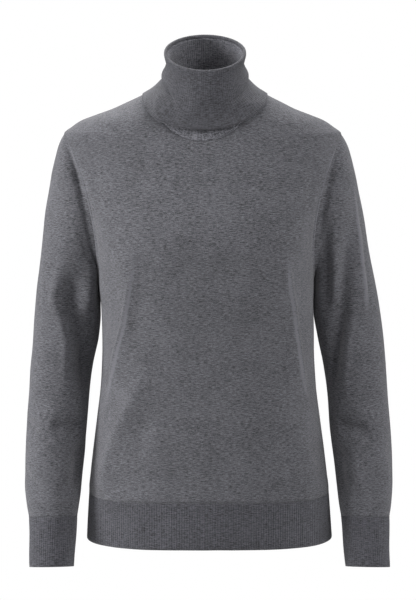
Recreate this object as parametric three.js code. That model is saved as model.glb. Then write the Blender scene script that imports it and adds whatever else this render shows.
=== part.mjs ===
// Turtleneck sweater in fine-gauge wool jersey, filled out as if worn, with nobody inside.
// Millimetres, +Z up, the front faces -Y. The origin is the middle of the neck opening, level with
// the two points where the shoulder seams meet the neckline: the wearer's shoulders carry it there.
// The wearer's right side is -X. Every piece is a cloth wall, open where the real one is open.
import * as THREE from 'three';

// Driving dimensions of the garment.
const HEM_DROP = 632;            // origin down to the hem at the side seams
const RIB_HEM_HEIGHT = 66;       // ribbed band at the hem
const RIB_CUFF_HEIGHT = 68;      // ribbed band at the wrist
const NECK_HALF = 70;            // half the width between the neck points
const NECK_FRONT_DROP = 68;      // neckline below the origin, at the centre front
const NECK_BACK_DROP = 5;
const SHOULDER_HALF = 191.5;     // half the width between the shoulder points
const SHOULDER_DROP = 62;        // shoulder point below the origin
const UNDERARM_HALF = 150;
const UNDERARM_DROP = 262;

// Cloth and seams.
const JERSEY = 1.5;              // wall of the plain knit
const RIB_CLOTH = 1.6;           // wall of the ribbed knit, between the ribs
const RIB_RELIEF = 0.7;          // how far a rib stands out
const SEAM = 0.3;                // distance between two pieces at a seam

const DEGREE = Math.PI / 180;

// Torso, from the neck points down: half width, depth to the front and to the back, and how square
// each half of the section is (2 is an ellipse). Between the shoulder point and the underarm the
// armhole sets the half width.
const TORSO = [
  { z: 0, half: NECK_HALF, front: 60, back: 64, frontPower: 2.2, backPower: 2.2 },
  { z: -2.5, half: 76, front: 61, back: 66, frontPower: 2.2, backPower: 2.2 },
  { z: -9, half: 87, front: 62, back: 69, frontPower: 2.2, backPower: 2.2 },
  { z: -19, half: 107.5, front: 64, back: 74, frontPower: 2.05, backPower: 2.05 },
  { z: -28, half: 126.5, front: 66, back: 78, frontPower: 2.05, backPower: 2.05 },
  { z: -36, half: 148, front: 68, back: 82, frontPower: 2.05, backPower: 2.05 },
  { z: -44, half: 168, front: 70, back: 85, frontPower: 2.05, backPower: 2.05 },
  { z: -52, half: 180, front: 72, back: 88, frontPower: 2.05, backPower: 2.05 },
  { z: -SHOULDER_DROP, half: SHOULDER_HALF, front: 75, back: 91, frontPower: 2.05, backPower: 2.05 },
  { z: -100, half: 180, front: 88, back: 98, frontPower: 2.2, backPower: 2.15 },
  { z: -150, half: 165, front: 107, back: 102, frontPower: 2.35, backPower: 2.25 },
  { z: -200, half: 152, front: 122, back: 101, frontPower: 2.5, backPower: 2.3 },
  { z: -230, half: 150, front: 125, back: 98, frontPower: 2.5, backPower: 2.3 },
  { z: -UNDERARM_DROP, half: UNDERARM_HALF, front: 122, back: 95, frontPower: 2.5, backPower: 2.4 },
  { z: -310, half: 148, front: 115, back: 90, frontPower: 2.5, backPower: 2.4 },
  { z: -360, half: 148, front: 110, back: 87, frontPower: 2.5, backPower: 2.5 },
  { z: -410, half: 150.5, front: 108, back: 88, frontPower: 2.5, backPower: 2.5 },
  { z: -460, half: 156.5, front: 107, back: 92, frontPower: 2.4, backPower: 2.5 },
  { z: -510, half: 163, front: 106, back: 97, frontPower: 2.3, backPower: 2.4 },
  { z: -566, half: 169, front: 105, back: 101, frontPower: 2.3, backPower: 2.3 },
  { z: -HEM_DROP, half: 173.5, front: 104, back: 102, frontPower: 2.15, backPower: 2.3 },
];

// Sleeve, from the armhole to the cuff: the outermost and innermost point of each section as seen
// from the front, the middle's depth, half the section's depth, and how far it tips up in front.
const SLEEVE = [
  { outX: SHOULDER_HALF + SEAM, outZ: -SHOULDER_DROP, inX: UNDERARM_HALF, inZ: -UNDERARM_DROP, midY: 0, depth: 48, tip: 0 },
  { outX: 195, outZ: -67, inX: 150.8, inZ: -264, midY: 0.3, depth: 48, tip: 0 },
  { outX: 201, outZ: -79, inX: 150.7, inZ: -268, midY: 1, depth: 48, tip: 0 },
  { outX: 206.5, outZ: -98, inX: 150.4, inZ: -274, midY: 2, depth: 48, tip: 0 },
  { outX: 214, outZ: -130, inX: 149.9, inZ: -283, midY: 3, depth: 47, tip: 0 },
  { outX: 222, outZ: -176, inX: 149.2, inZ: -296, midY: 4, depth: 46, tip: 0 },
  { outX: 230, outZ: -232, inX: 148.9, inZ: -314, midY: 5, depth: 45, tip: 0 },
  { outX: 241, outZ: -300, inX: 153.5, inZ: -346, midY: 6, depth: 44, tip: 0 },
  { outX: 248.5, outZ: -372, inX: 162, inZ: -388, midY: 5, depth: 43, tip: 2 },
  { outX: 253, outZ: -432, inX: 168.5, inZ: -437, midY: 0, depth: 42, tip: 6 },
  { outX: 256.5, outZ: -490, inX: 172.5, inZ: -490, midY: -11, depth: 41, tip: 10 },
  { outX: 258, outZ: -545, inX: 178, inZ: -543, midY: -23, depth: 38, tip: 12 },
  { outX: 256, outZ: -575, inX: 181.5, inZ: -574, midY: -30, depth: 35, tip: 13 },
  { outX: 252.5, outZ: -596, inX: 185, inZ: -595, midY: -35, depth: 33, tip: 13 },
];
const CUFF = [
  { outX: 252.5, outZ: -596, inX: 185, inZ: -595, midY: -35, depth: 33, tip: 13 },
  { outX: 252, outZ: -596 - RIB_CUFF_HEIGHT / 2, inX: 187.5, inZ: -595 - RIB_CUFF_HEIGHT / 2, midY: -43, depth: 32, tip: 13 },
  { outX: 252, outZ: -596 - RIB_CUFF_HEIGHT, inX: 190, inZ: -595 - RIB_CUFF_HEIGHT, midY: -51, depth: 31, tip: 13 },
];
const ARMHOLE_BOW = { front: 15, back: 10 };   // how far the armhole curves in towards the middle

// Collar: the standing layer from the neckline to the fold, and the layer that folds over it and
// hangs down outside. Each row is a loop: its half width, with the depth and height of its sides,
// and the depth and height of its centre front and centre back. plan is 1 for an ellipse from above,
// and less for a front that keeps clear of the shoulders.
const STAND = [
  { side: NECK_HALF, sideY: 0, sideZ: 0, frontY: -75, frontZ: -NECK_FRONT_DROP, backY: 64, backZ: -NECK_BACK_DROP, plan: 0.4 },
  { side: 61.5, sideY: -3, sideZ: 8, frontY: -73.5, frontZ: -46, backY: 58, backZ: 10, plan: 0.55 },
  { side: 56, sideY: -8, sideZ: 16, frontY: -72.5, frontZ: -28, backY: 50, backZ: 27, plan: 0.85 },
  { side: 52.5, sideY: -14, sideZ: 27, frontY: -71.5, frontZ: -9, backY: 40, backZ: 46, plan: 1 },
  { side: 50.4, sideY: -19, sideZ: 37, frontY: -70, frontZ: 8, backY: 32, backZ: 60, plan: 1 },
  { side: 53.2, sideY: -21.6, sideZ: 48, frontY: -68, frontZ: 23.9, backY: 24.8, backZ: 69.6, plan: 1 },
];
const FALL = [
  { side: 51.6, sideY: -21.6, sideZ: 48.8, frontY: -66.4, frontZ: 25.5, backY: 23.2, backZ: 69.6, plan: 1 },
  { side: 52, sideY: -21.6, sideZ: 51.2, frontY: -66.8, frontZ: 27.7, backY: 23.6, backZ: 72, plan: 1 },
  { side: 54.2, sideY: -21.6, sideZ: 52.6, frontY: -69, frontZ: 28, backY: 25.8, backZ: 74.4, plan: 1 },
  { side: 56, sideY: -21.6, sideZ: 51.2, frontY: -71.2, frontZ: 25.4, backY: 28, backZ: 74, plan: 1 },
  { side: 56.2, sideY: -21.4, sideZ: 48.5, frontY: -71.8, frontZ: 22.4, backY: 28.8, backZ: 71.8, plan: 1 },
  { side: 53.4, sideY: -19, sideZ: 36, frontY: -73.6, frontZ: 8, backY: 35, backZ: 61, plan: 1 },
  { side: 55.8, sideY: -16, sideZ: 27, frontY: -75, frontZ: -2, backY: 40.5, backZ: 52, plan: 1 },
  { side: 60, sideY: -13, sideZ: 19, frontY: -76.5, frontZ: -12, backY: 47, backZ: 42, plan: 0.95 },
  { side: 59, sideY: -10, sideZ: 14, frontY: -77.5, frontZ: -20, backY: 52.5, backZ: 33, plan: 0.8 },
  { side: 64.8, sideY: -7, sideZ: 8, frontY: -79.5, frontZ: -30, backY: 60, backZ: 21, plan: 0.6 },
  { side: 73.5, sideY: -5, sideZ: 1, frontY: -81.5, frontZ: -41.5, backY: 67, backZ: 9, plan: 0.5 },
  { side: 86, sideY: -4, sideZ: -6, frontY: -84.5, frontZ: -52, backY: 76, backZ: -5, plan: 0.45 },
];

// How far the garment hangs to one side, by height, and how far the hem rises at the centre front.
const LEAN = [
  { z: 60, x: 0 }, { z: 0, x: 0 }, { z: -50, x: -3.5 }, { z: -100, x: -2.5 }, { z: -190, x: -1 },
  { z: -260, x: 1.4 }, { z: -350, x: 4.2 }, { z: -450, x: 4.6 }, { z: -580, x: 5.5 }, { z: -670, x: 6.5 },
];
const HEM_FRONT_LIFT = 5;

// The largest folds. Torso folds run straight between two places of the front or back view; depth is
// how far the cloth stands out, negative for a trough, and width is half the fold's width.
const FRONT_FOLDS = [
  { x1: -102, z1: -215, x2: -112, z2: -330, width: 12, depth: 4.5 },
  { x1: -110, z1: -305, x2: -134, z2: -395, width: 12, depth: 4 },
  { x1: 109, z1: -215, x2: 116, z2: -340, width: 13, depth: 4 },
  { x1: 115, z1: -320, x2: 132, z2: -420, width: 12, depth: 3 },
  { x1: -92, z1: -385, x2: -128, z2: -480, width: 15, depth: 5 },
  { x1: -122, z1: -460, x2: -152, z2: -560, width: 14, depth: 4 },
  { x1: -75, z1: -250, x2: 85, z2: -250, width: 24, depth: -5 },
];
const BACK_FOLDS = [
  { x1: -60, z1: -320, x2: -126, z2: -480, width: 18, depth: 4 },
  { x1: 66, z1: -335, x2: 126, z2: -510, width: 18, depth: 4 },
  { x1: -60, z1: -175, x2: 70, z2: -180, width: 30, depth: -3 },
];
// Each sleeve fold runs along a path on the sleeve, whose places are given as the angle from its
// outer line, with 90 at the front, and the height. Width is along the cloth.
const SLEEVE_FOLDS = {
  right: [
    {
      path: [[92, -222], [97, -262], [102, -296], [116, -326], [132, -354], [146, -400], [144, -440]],
      width: 16,
      depth: -12,
    },
    { path: [[142, -215], [138, -250], [128, -288], [124, -320]], width: 10, depth: 6 },
    { path: [[152, -472], [120, -467], [94, -462], [80, -460]], width: 10, depth: -7 },
    { path: [[142, -476], [148, -520], [146, -566]], width: 16, depth: -6 },
    { path: [[12, -462], [60, -472]], width: 12, depth: -4 },
    { path: [[10, -532], [75, -556]], width: 10, depth: -4 },
  ],
  left: [
    { path: [[110, -160], [118, -200], [122, -247], [128, -290], [136, -330]], width: 9, depth: -7 },
    {
      path: [[50, -160], [66, -205], [80, -247], [95, -290], [110, -325], [126, -356], [140, -398], [142, -436]],
      width: 11,
      depth: -11,
    },
    { path: [[150, -462], [108, -468], [66, -476]], width: 10, depth: -7 },
    { path: [[140, -482], [147, -530], [147, -580]], width: 16, depth: -6 },
  ],
};

// A smooth curve through one column of a table, by its key column, straight past both ends.
function columnCurve(rows, key, column) {
  const sorted = [...rows].sort((a, b) => a[key] - b[key]);
  const xs = sorted.map((row) => row[key]);
  const ys = sorted.map((row) => row[column]);
  const steps = xs.slice(1).map((x, i) => (ys[i + 1] - ys[i]) / (x - xs[i]));
  const slopes = ys.map((_, i) => {
    if (i === 0) return steps[0];
    if (i === ys.length - 1) return steps[i - 1];
    const [before, after] = [steps[i - 1], steps[i]];
    return before * after <= 0 ? 0 : (2 * before * after) / (before + after);
  });
  return (x) => {
    const last = xs.length - 1;
    if (x <= xs[0]) return ys[0] + slopes[0] * (x - xs[0]);
    if (x >= xs[last]) return ys[last] + slopes[last] * (x - xs[last]);
    const i = xs.findIndex((value) => value > x) - 1;
    const h = xs[i + 1] - xs[i];
    const s = (x - xs[i]) / h;
    const [s2, s3] = [s * s, s * s * s];
    return (2 * s3 - 3 * s2 + 1) * ys[i] + (s3 - 2 * s2 + s) * h * slopes[i]
      + (3 * s2 - 2 * s3) * ys[i + 1] + (s3 - s2) * h * slopes[i + 1];
  };
}

// Every column of a table as a curve, read together.
function tableCurves(rows, key) {
  const columns = Object.keys(rows[0]).filter((name) => name !== key);
  const curves = columns.map((name) => [name, columnCurve(rows, key, name)]);
  return (x) => Object.fromEntries(curves.map(([name, curve]) => [name, curve(x)]));
}

// The same, with the rows numbered evenly from 0 to 1.
function loopCurves(rows) {
  const numbered = rows.map((row, i) => ({ ...row, at: i / (rows.length - 1) }));
  return tableCurves(numbered, 'at');
}

const torsoAt = tableCurves(TORSO, 'z');
const leanAt = columnCurve(LEAN, 'z', 'x');
const sleeveAt = loopCurves(SLEEVE);
const cuffAt = loopCurves(CUFF);
const standAt = loopCurves(STAND);
const fallAt = loopCurves(FALL);

const smoothStep = (value) => {
  const s = Math.min(1, Math.max(0, value));
  return s * s * (3 - 2 * s);
};

// How much a fold lifts the cloth at a place, fading out round both ends of its path.
function foldLift(x, y, path, fold) {
  if (path.length === 2) {
    const [[x1, y1], [x2, y2]] = path;
    const [dx, dy] = [x2 - x1, y2 - y1];
    const length = Math.hypot(dx, dy);
    const along = ((x - x1) * dx + (y - y1) * dy) / length ** 2;
    const aside = ((x - x1) * dy - (y - y1) * dx) / length;
    const fade = smoothStep((along + 0.15) / 0.5) * smoothStep((1.15 - along) / 0.5);
    return fold.depth * fade * Math.exp(-((aside / fold.width) ** 2));
  }
  let [near, where, run] = [Infinity, 0, 0];
  for (let i = 1; i < path.length; i += 1) {
    const [[x1, y1], [x2, y2]] = [path[i - 1], path[i]];
    const [dx, dy] = [x2 - x1, y2 - y1];
    const length = Math.hypot(dx, dy);
    const part = Math.min(1, Math.max(0, ((x - x1) * dx + (y - y1) * dy) / length ** 2));
    const gap = Math.hypot(x - x1 - part * dx, y - y1 - part * dy);
    if (gap < near) [near, where] = [gap, run + part * length];
    run += length;
  }
  const fade = smoothStep(where / run / 0.3) * smoothStep((1 - where / run) / 0.3);
  return fold.depth * fade * Math.exp(-((near / fold.width) ** 2));
}

const torsoFolds = (face, x, z) => (face < 0 ? FRONT_FOLDS : BACK_FOLDS).reduce(
  (sum, fold) => sum + foldLift(x, z, [[fold.x1, fold.z1], [fold.x2, fold.z2]], fold), 0);

function sleeveFolds(side, angle, z, radius) {
  const folds = side < 0 ? SLEEVE_FOLDS.right : SLEEVE_FOLDS.left;
  return folds.reduce((sum, fold) => {
    const middle = fold.path.reduce((total, [a]) => total + a, 0) / fold.path.length;
    const turned = ((((angle / DEGREE - middle) % 360) + 540) % 360) - 180;
    const arc = (degrees) => degrees * DEGREE * radius;
    return sum + foldLift(arc(turned), z, fold.path.map(([a, height]) => [arc(a - middle), height]), fold);
  }, 0);
}

// The armhole's front or back edge at a height: its distance from the middle and its depth.
function armholeEdge(z, face) {
  const cosine = Math.min(1, Math.max(-1, (2 * z + SHOULDER_DROP + UNDERARM_DROP) / (UNDERARM_DROP - SHOULDER_DROP)));
  const sine = Math.sqrt(1 - cosine * cosine);
  const bow = face < 0 ? ARMHOLE_BOW.front : ARMHOLE_BOW.back;
  return {
    x: (SHOULDER_HALF + UNDERARM_HALF + (SHOULDER_HALF - UNDERARM_HALF) * cosine) / 2 - bow * sine ** 2,
    y: SLEEVE[0].depth * sine,
  };
}

// A point of the torso. face is -1 for the front and 1 for the back, u runs from -1 at the wearer's
// right edge of the panel to 1 at the left edge.
function torsoPoint(face, u, z) {
  const row = torsoAt(z);
  const depth = face < 0 ? row.front : row.back;
  const power = face < 0 ? row.frontPower : row.backPower;
  let { half } = row;
  let edge = Math.PI / 2;
  if (z < -SHOULDER_DROP && z > -UNDERARM_DROP) {
    const hole = armholeEdge(z, face);
    const share = Math.min(0.999, Math.max(1e-4, hole.y / depth));
    edge = Math.atan((share ** -power - 1) ** (1 / power));
    const scale = (Math.sin(edge) ** power + Math.cos(edge) ** power) ** (-1 / power);
    half = hole.x / (scale * Math.sin(edge));
  }
  const turn = u * (Math.PI / 2 + (edge - Math.PI / 2) * Math.abs(u) ** 1.5);
  const [sine, cosine] = [Math.sin(turn), Math.cos(turn)];
  const scale = (Math.abs(sine) ** power + Math.abs(cosine) ** power) ** (-1 / power);
  const x = half * scale * sine;
  const lift = torsoFolds(face, x, z);
  const out = new THREE.Vector2(sine / half, cosine / depth).normalize();
  const y = face * (depth * scale * cosine + SEAM / 2);
  return new THREE.Vector3(x + out.x * lift, y + face * out.y * lift, z);
}

// The angle round the neckline at a panel column: columns crowd towards the neck points, where the
// neckline is steepest. columnOf is the way back.
const COLUMN_CROWD = 1.85;
const neckAngle = (s) => (Math.sign(s) * (1 - (1 - Math.abs(s)) ** COLUMN_CROWD) * Math.PI) / 2;
const columnOf = (angle) => Math.sign(angle) * (1 - (1 - Math.abs(angle) / (Math.PI / 2)) ** (1 / COLUMN_CROWD));

// How high the neckline is at a column from -1 to 1, and how far across the torso's section it lies.
function necklineAt(face, s) {
  const drop = face < 0 ? NECK_FRONT_DROP : NECK_BACK_DROP;
  const angle = neckAngle(s);
  const z = -drop * Math.cos(angle);
  const row = torsoAt(z);
  const power = face < 0 ? row.frontPower : row.backPower;
  const share = Math.min(1, Math.abs((NECK_HALF * Math.sin(angle)) / row.half));
  const turn = share < 1e-6 ? 0 : Math.atan((share ** -power - 1) ** (-1 / power));
  return { z, u: (Math.sign(s) * turn) / (Math.PI / 2) };
}

const RIB_TOP = -(HEM_DROP - RIB_HEM_HEIGHT);

// The front or back panel, its columns fanned in to the neckline. Row is the height at the side.
function panelPoint(face, s, row) {
  const neck = necklineAt(face, s);
  const fan = smoothStep((row + 250) / 250);
  const lift = face < 0 ? HEM_FRONT_LIFT * Math.cos((s * Math.PI) / 2) ** 4 : 0;
  const low = smoothStep((RIB_TOP + 120 - row) / 120);
  return torsoPoint(face, s + (neck.u - s) * fan, row + neck.z * fan ** 2 + lift * low);
}

// A ring of points on the sleeve or cuff: side is -1 for the wearer's right. The angle runs from
// the outer line, with a quarter turn at the front.
function sleevePoint(rows, side, angle, t) {
  const row = rows(t);
  const [cosine, sine] = [Math.cos(angle), Math.sin(angle)];
  const front = row.depth * sine;
  const tip = row.tip * DEGREE;
  const isSleeve = rows === sleeveAt;
  const bow = isSleeve ? (sine > 0 ? ARMHOLE_BOW.front : ARMHOLE_BOW.back) * (sine * Math.max(0, 1 - 5 * t)) ** 2 : 0;
  const point = new THREE.Vector3(
    (row.outX + row.inX) / 2 + ((row.outX - row.inX) / 2) * cosine - bow + SEAM,
    row.midY - front * Math.cos(tip),
    (row.outZ + row.inZ) / 2 + ((row.outZ - row.inZ) / 2) * cosine + front * Math.sin(tip) - SEAM * (isSleeve ? 2 : 3),
  );
  if (isSleeve) {
    const away = smoothStep(t / 0.18) * smoothStep((1 - t) / 0.12);
    const lift = sleeveFolds(side, angle, point.z, (row.outX - row.inX) / 2) * away;
    point.x += lift * cosine;
    point.y -= lift * sine;
  }
  point.x *= side;
  return point;
}

// A loop of the collar. The angle runs from the wearer's left round by the back.
function loopPoint(rows, angle, t) {
  const row = rows(t);
  const [cosine, sine] = [Math.cos(angle), Math.sin(angle)];
  const back = sine > 0;
  const plan = back ? (1 + row.plan) / 2 : row.plan;
  return new THREE.Vector3(
    row.side * cosine,
    row.sideY + ((back ? row.backY : row.frontY) - row.sideY) * Math.abs(sine) ** plan,
    row.sideZ + ((back ? row.backZ : row.frontZ) - row.sideZ) * Math.abs(sine),
  );
}

// Which panel the collar meets at an angle, and where along that panel's neckline.
function necklinePlace(angle) {
  const s = columnOf(Math.asin(Math.min(1, Math.max(-1, Math.cos(angle)))));
  return { face: Math.sin(angle) > -1e-9 ? 1 : -1, s };
}

// The standing layer starts on the panels' neckline, wherever that runs.
function standPoint(angle, t) {
  const { face, s } = necklinePlace(angle);
  const neck = necklineAt(face, s);
  const seam = torsoPoint(face, neck.u, neck.z).sub(loopPoint(standAt, angle, 0));
  return loopPoint(standAt, angle, t).addScaledVector(seam, (1 - t) ** 3).add(new THREE.Vector3(0, 0, SEAM));
}
const fallPoint = (angle, t) => loopPoint(fallAt, angle, t).add(new THREE.Vector3(0, 0, SEAM));

const withLean = (point) => point.setX(point.x + leanAt(point.z));

// The normal at one point of a grid, from the points beside it.
function gridNormal(points, row, column, closed) {
  const count = points[0].length;
  const beside = (step) => (closed
    ? points[row][(column + step + count) % count]
    : points[row][Math.min(count - 1, Math.max(0, column + step))]);
  const above = points[Math.min(points.length - 1, row + 1)][column];
  const below = points[Math.max(0, row - 1)][column];
  return beside(1).clone().sub(beside(-1)).cross(above.clone().sub(below)).normalize();
}

// Rows of points on a surface, moved along its normal. A closed surface comes round to its start.
// The first row can take its normals from the piece it is sewn to.
function gridOf(surface, across, along, closed, offset, firstNormal) {
  const points = along.map((b) => across.map((a) => surface(a, b)));
  return points.map((line, row) => line.map((point, column) => {
    const sewn = row === 0 && firstNormal;
    const normal = sewn ? firstNormal(across[column]) : gridNormal(points, row, column, closed);
    const move = typeof offset === 'function' ? offset(across[column]) : offset;
    return withLean(point.clone().addScaledVector(normal, move));
  }));
}

// The front and back pieces are cut off at the plane of their side and shoulder seams.
const onOwnSide = (grid, face) => grid.map((row) => row.map((point) => (
  face * point.y < SEAM / 2 ? point.setY((face * SEAM) / 2) : point)));

const evenly = (from, to, count) => Array.from({ length: count + 1 }, (_, i) => from + ((to - from) * i) / count);

// One closed wall from an outer and an inner grid, which may differ in their number of columns.
function wallGeometry(outer, inner, closed) {
  const positions = [];
  const index = [];
  const number = (grid) => grid.map((row) => row.map((point) => {
    positions.push(point.x, point.y, point.z);
    return positions.length / 3 - 1;
  }));
  const outerIds = number(outer);
  const innerIds = number(inner);
  const face = (a, b, c, flip) => index.push(...(flip ? [a, c, b] : [a, b, c]));
  // Triangles between two lines of points, each step taken on the line that lags.
  const zip = (low, high, flip, looped) => {
    const lowLine = looped ? [...low, low[0]] : low;
    const highLine = looped ? [...high, high[0]] : high;
    let [i, j] = [0, 0];
    while (i < lowLine.length - 1 || j < highLine.length - 1) {
      const nextLow = i < lowLine.length - 1 ? (i + 1) / (lowLine.length - 1) : 2;
      const nextHigh = j < highLine.length - 1 ? (j + 1) / (highLine.length - 1) : 2;
      if (nextLow <= nextHigh) {
        face(lowLine[i], lowLine[i + 1], highLine[j], flip);
        i += 1;
      } else {
        face(lowLine[i], highLine[j + 1], highLine[j], flip);
        j += 1;
      }
    }
  };
  outerIds.slice(1).forEach((row, i) => zip(outerIds[i], row, false, closed));
  innerIds.slice(1).forEach((row, i) => zip(innerIds[i], row, true, closed));
  zip(outerIds[0], innerIds[0], true, closed);
  zip(outerIds.at(-1), innerIds.at(-1), false, closed);
  if (!closed) {
    zip(outerIds.map((row) => row[0]), innerIds.map((row) => row[0]), false, false);
    zip(outerIds.map((row) => row.at(-1)), innerIds.map((row) => row.at(-1)), true, false);
  }
  const geometry = new THREE.BufferGeometry();
  geometry.setAttribute('position', new THREE.Float32BufferAttribute(positions, 3));
  geometry.setIndex(index);
  geometry.computeVertexNormals();
  return geometry;
}

// A wall whose faces point out, whichever way its surface was walked.
function wallMesh(name, material, outer, inner, closed) {
  const geometry = wallGeometry(outer, inner, closed);
  const position = geometry.getAttribute('position');
  const corner = (i) => new THREE.Vector3().fromBufferAttribute(position, geometry.index.getX(i));
  let volume = 0;
  for (let i = 0; i < geometry.index.count; i += 3) {
    volume += corner(i).dot(corner(i + 1).cross(corner(i + 2)));
  }
  if (volume < 0) {
    const ids = geometry.index.array;
    for (let i = 0; i < ids.length; i += 3) [ids[i], ids[i + 1]] = [ids[i + 1], ids[i]];
  }
  const mesh = new THREE.Mesh(geometry, material);
  mesh.name = name;
  return mesh;
}

const jersey = new THREE.MeshStandardMaterial({ color: 0x646368, roughness: 0.9, metalness: 0 });
const ribbing = new THREE.MeshStandardMaterial({ color: 0x55545a, roughness: 0.92, metalness: 0 });

// A panel's rows meet the sleeve's points along the armhole, and the collar meets its columns.
const SLEEVE_COLUMNS = 20;
const FRONT_COLUMNS = 24;
const BACK_COLUMNS = 20;
const ARMHOLE_ROWS = evenly(Math.PI, 0, SLEEVE_COLUMNS / 2).map((angle) => (
  (Math.cos(angle) * (UNDERARM_DROP - SHOULDER_DROP) - UNDERARM_DROP - SHOULDER_DROP) / 2));
const SHOULDER_ROWS = [-50, -40, -30, -20, -10, 0];

// Every surface below is walked so that its normal points out of the cloth.
function panel(name, face, columns, lowerRows) {
  const surface = (s, row) => panelPoint(face, -face * s, row);
  const lower = evenly(RIB_TOP, -UNDERARM_DROP, lowerRows).slice(0, -1);
  const [across, along] = [evenly(-1, 1, columns), [...lower, ...ARMHOLE_ROWS, ...SHOULDER_ROWS]];
  return wallMesh(name, jersey, gridOf(surface, across, along, false, 0),
    onOwnSide(gridOf(surface, across, along, false, -JERSEY), face), false);
}

// Every second line of points stands out as a rib.
const ribLift = (ribs, turn) => (Math.round(turn * ribs * 2) % 2 ? RIB_RELIEF : 0);

function hemBand(name, face, ribs) {
  const surface = (s, v) => {
    const u = -face * s;
    const z = -HEM_DROP + v;
    const lift = face < 0 ? HEM_FRONT_LIFT * Math.cos((u * Math.PI) / 2) ** 4 : 0;
    return torsoPoint(face, u, z + lift);
  };
  const rib = (s) => ribLift(ribs, (s + 1) / 2);
  const along = [0, RIB_HEM_HEIGHT - SEAM];
  return wallMesh(name, ribbing, gridOf(surface, evenly(-1, 1, ribs * 2), along, false, rib),
    onOwnSide(gridOf(surface, evenly(-1, 1, 24), along, false, -RIB_CLOTH), face), false);
}

// Angles round a tube, without the last one, which is the first again.
const around = (count) => evenly(0, 2 * Math.PI, count).slice(0, -1);

function sleeve(name, side, rows) {
  const surface = (angle, t) => sleevePoint(sleeveAt, side, side * angle, t);
  const [across, along] = [around(SLEEVE_COLUMNS), evenly(0, 1, rows)];
  return wallMesh(name, jersey, gridOf(surface, across, along, true, 0),
    gridOf(surface, across, along, true, -JERSEY), true);
}

function collarStand(name) {
  const back = evenly(1, -1, BACK_COLUMNS).slice(0, -1).map((s) => Math.PI / 2 - neckAngle(s));
  const front = evenly(-1, 1, FRONT_COLUMNS).slice(0, -1).map((s) => 1.5 * Math.PI + neckAngle(s));
  const [across, along] = [[...back, ...front], evenly(0, 1, STAND.length - 1)];
  const seamNormal = (angle) => {
    const { face, s } = necklinePlace(angle);
    const step = 2 / (face < 0 ? FRONT_COLUMNS : BACK_COLUMNS);
    const places = [-face * s - step, -face * s, -face * s + step].map((a) => Math.min(1, Math.max(-1, a)));
    const rows = SHOULDER_ROWS.slice(-2).map((row) => places.map((a) => panelPoint(face, -face * a, row)));
    return gridNormal(rows, 1, 1, false);
  };
  return wallMesh(name, ribbing, gridOf(standPoint, across, along, true, 0, seamNormal),
    gridOf(standPoint, across, along, true, -RIB_CLOTH, seamNormal), true);
}

function ribbedTube(name, surface, ribs, along, columns) {
  const rib = (angle) => ribLift(ribs, angle / (2 * Math.PI));
  return wallMesh(name, ribbing, gridOf(surface, around(ribs * 2), along, true, rib),
    gridOf(surface, around(columns), along, true, -RIB_CLOTH), true);
}
const cuffSurface = (side) => (angle, t) => sleevePoint(cuffAt, side, side * angle, t);

const sweater = new THREE.Group();
sweater.add(
  panel('front', -1, FRONT_COLUMNS, 10),
  panel('back', 1, BACK_COLUMNS, 7),
  hemBand('hem_rib_front', -1, 60),
  hemBand('hem_rib_back', 1, 60),
  sleeve('sleeve_right', -1, 24),
  sleeve('sleeve_left', 1, 24),
  ribbedTube('cuff_right', cuffSurface(-1), 40, [0, 0.5, 1], 24),
  ribbedTube('cuff_left', cuffSurface(1), 40, [0, 0.5, 1], 24),
  collarStand('collar_stand'),
  ribbedTube('collar_fall', fallPoint, 76, evenly(0, 1, FALL.length - 1), 38),
);

export default sweater;
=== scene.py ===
"""Turtleneck sweater in fine melange wool, filled out as if worn, with nobody inside.

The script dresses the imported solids: every piece of cloth is a thin knitted shell on the form of
its solid, with its folds, ribs, seams and yarn. Tables are in millimetres, in the same frame as the
solids: +Z up, the front faces -Y, the wearer's right sleeve is at -X.
"""

from __future__ import annotations

import logging
import math
from dataclasses import dataclass, field
from enum import Enum
from typing import Any, Callable, Mapping, Sequence

import bpy
import numpy as np
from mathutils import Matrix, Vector


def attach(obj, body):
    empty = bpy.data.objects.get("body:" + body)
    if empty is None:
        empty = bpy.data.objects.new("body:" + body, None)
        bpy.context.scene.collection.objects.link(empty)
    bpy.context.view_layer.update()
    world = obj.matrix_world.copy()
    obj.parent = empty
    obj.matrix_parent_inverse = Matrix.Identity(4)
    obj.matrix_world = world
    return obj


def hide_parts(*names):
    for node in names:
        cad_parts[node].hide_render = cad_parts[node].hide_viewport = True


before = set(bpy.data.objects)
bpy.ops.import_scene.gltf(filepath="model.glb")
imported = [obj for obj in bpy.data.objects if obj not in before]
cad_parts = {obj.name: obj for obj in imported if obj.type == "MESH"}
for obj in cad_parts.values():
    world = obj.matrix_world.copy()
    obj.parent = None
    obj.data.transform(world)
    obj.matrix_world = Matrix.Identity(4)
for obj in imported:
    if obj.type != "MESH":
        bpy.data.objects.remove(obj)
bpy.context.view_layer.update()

LOG = logging.getLogger("sweater")
MM = 0.001
# Only folds narrower than this take the painted highlight along their tops.
SHARP_WIDTH = 3.5  # a fold narrower than this, in millimetres, is creased and not rolled
Grid = np.ndarray
Reader = Callable[[Sequence["Fold"], Grid, Grid], Grid]


class Face(Enum):
    """Which panel of the body: the value is the direction along Y that it faces."""

    FRONT = -1
    BACK = 1


class Side(Enum):
    """Which arm: the value is the direction along X that it lies in."""

    RIGHT = -1
    LEFT = 1


# ---------------------------------------------------------------------------------------------
# Tables and curves
# ---------------------------------------------------------------------------------------------


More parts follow.
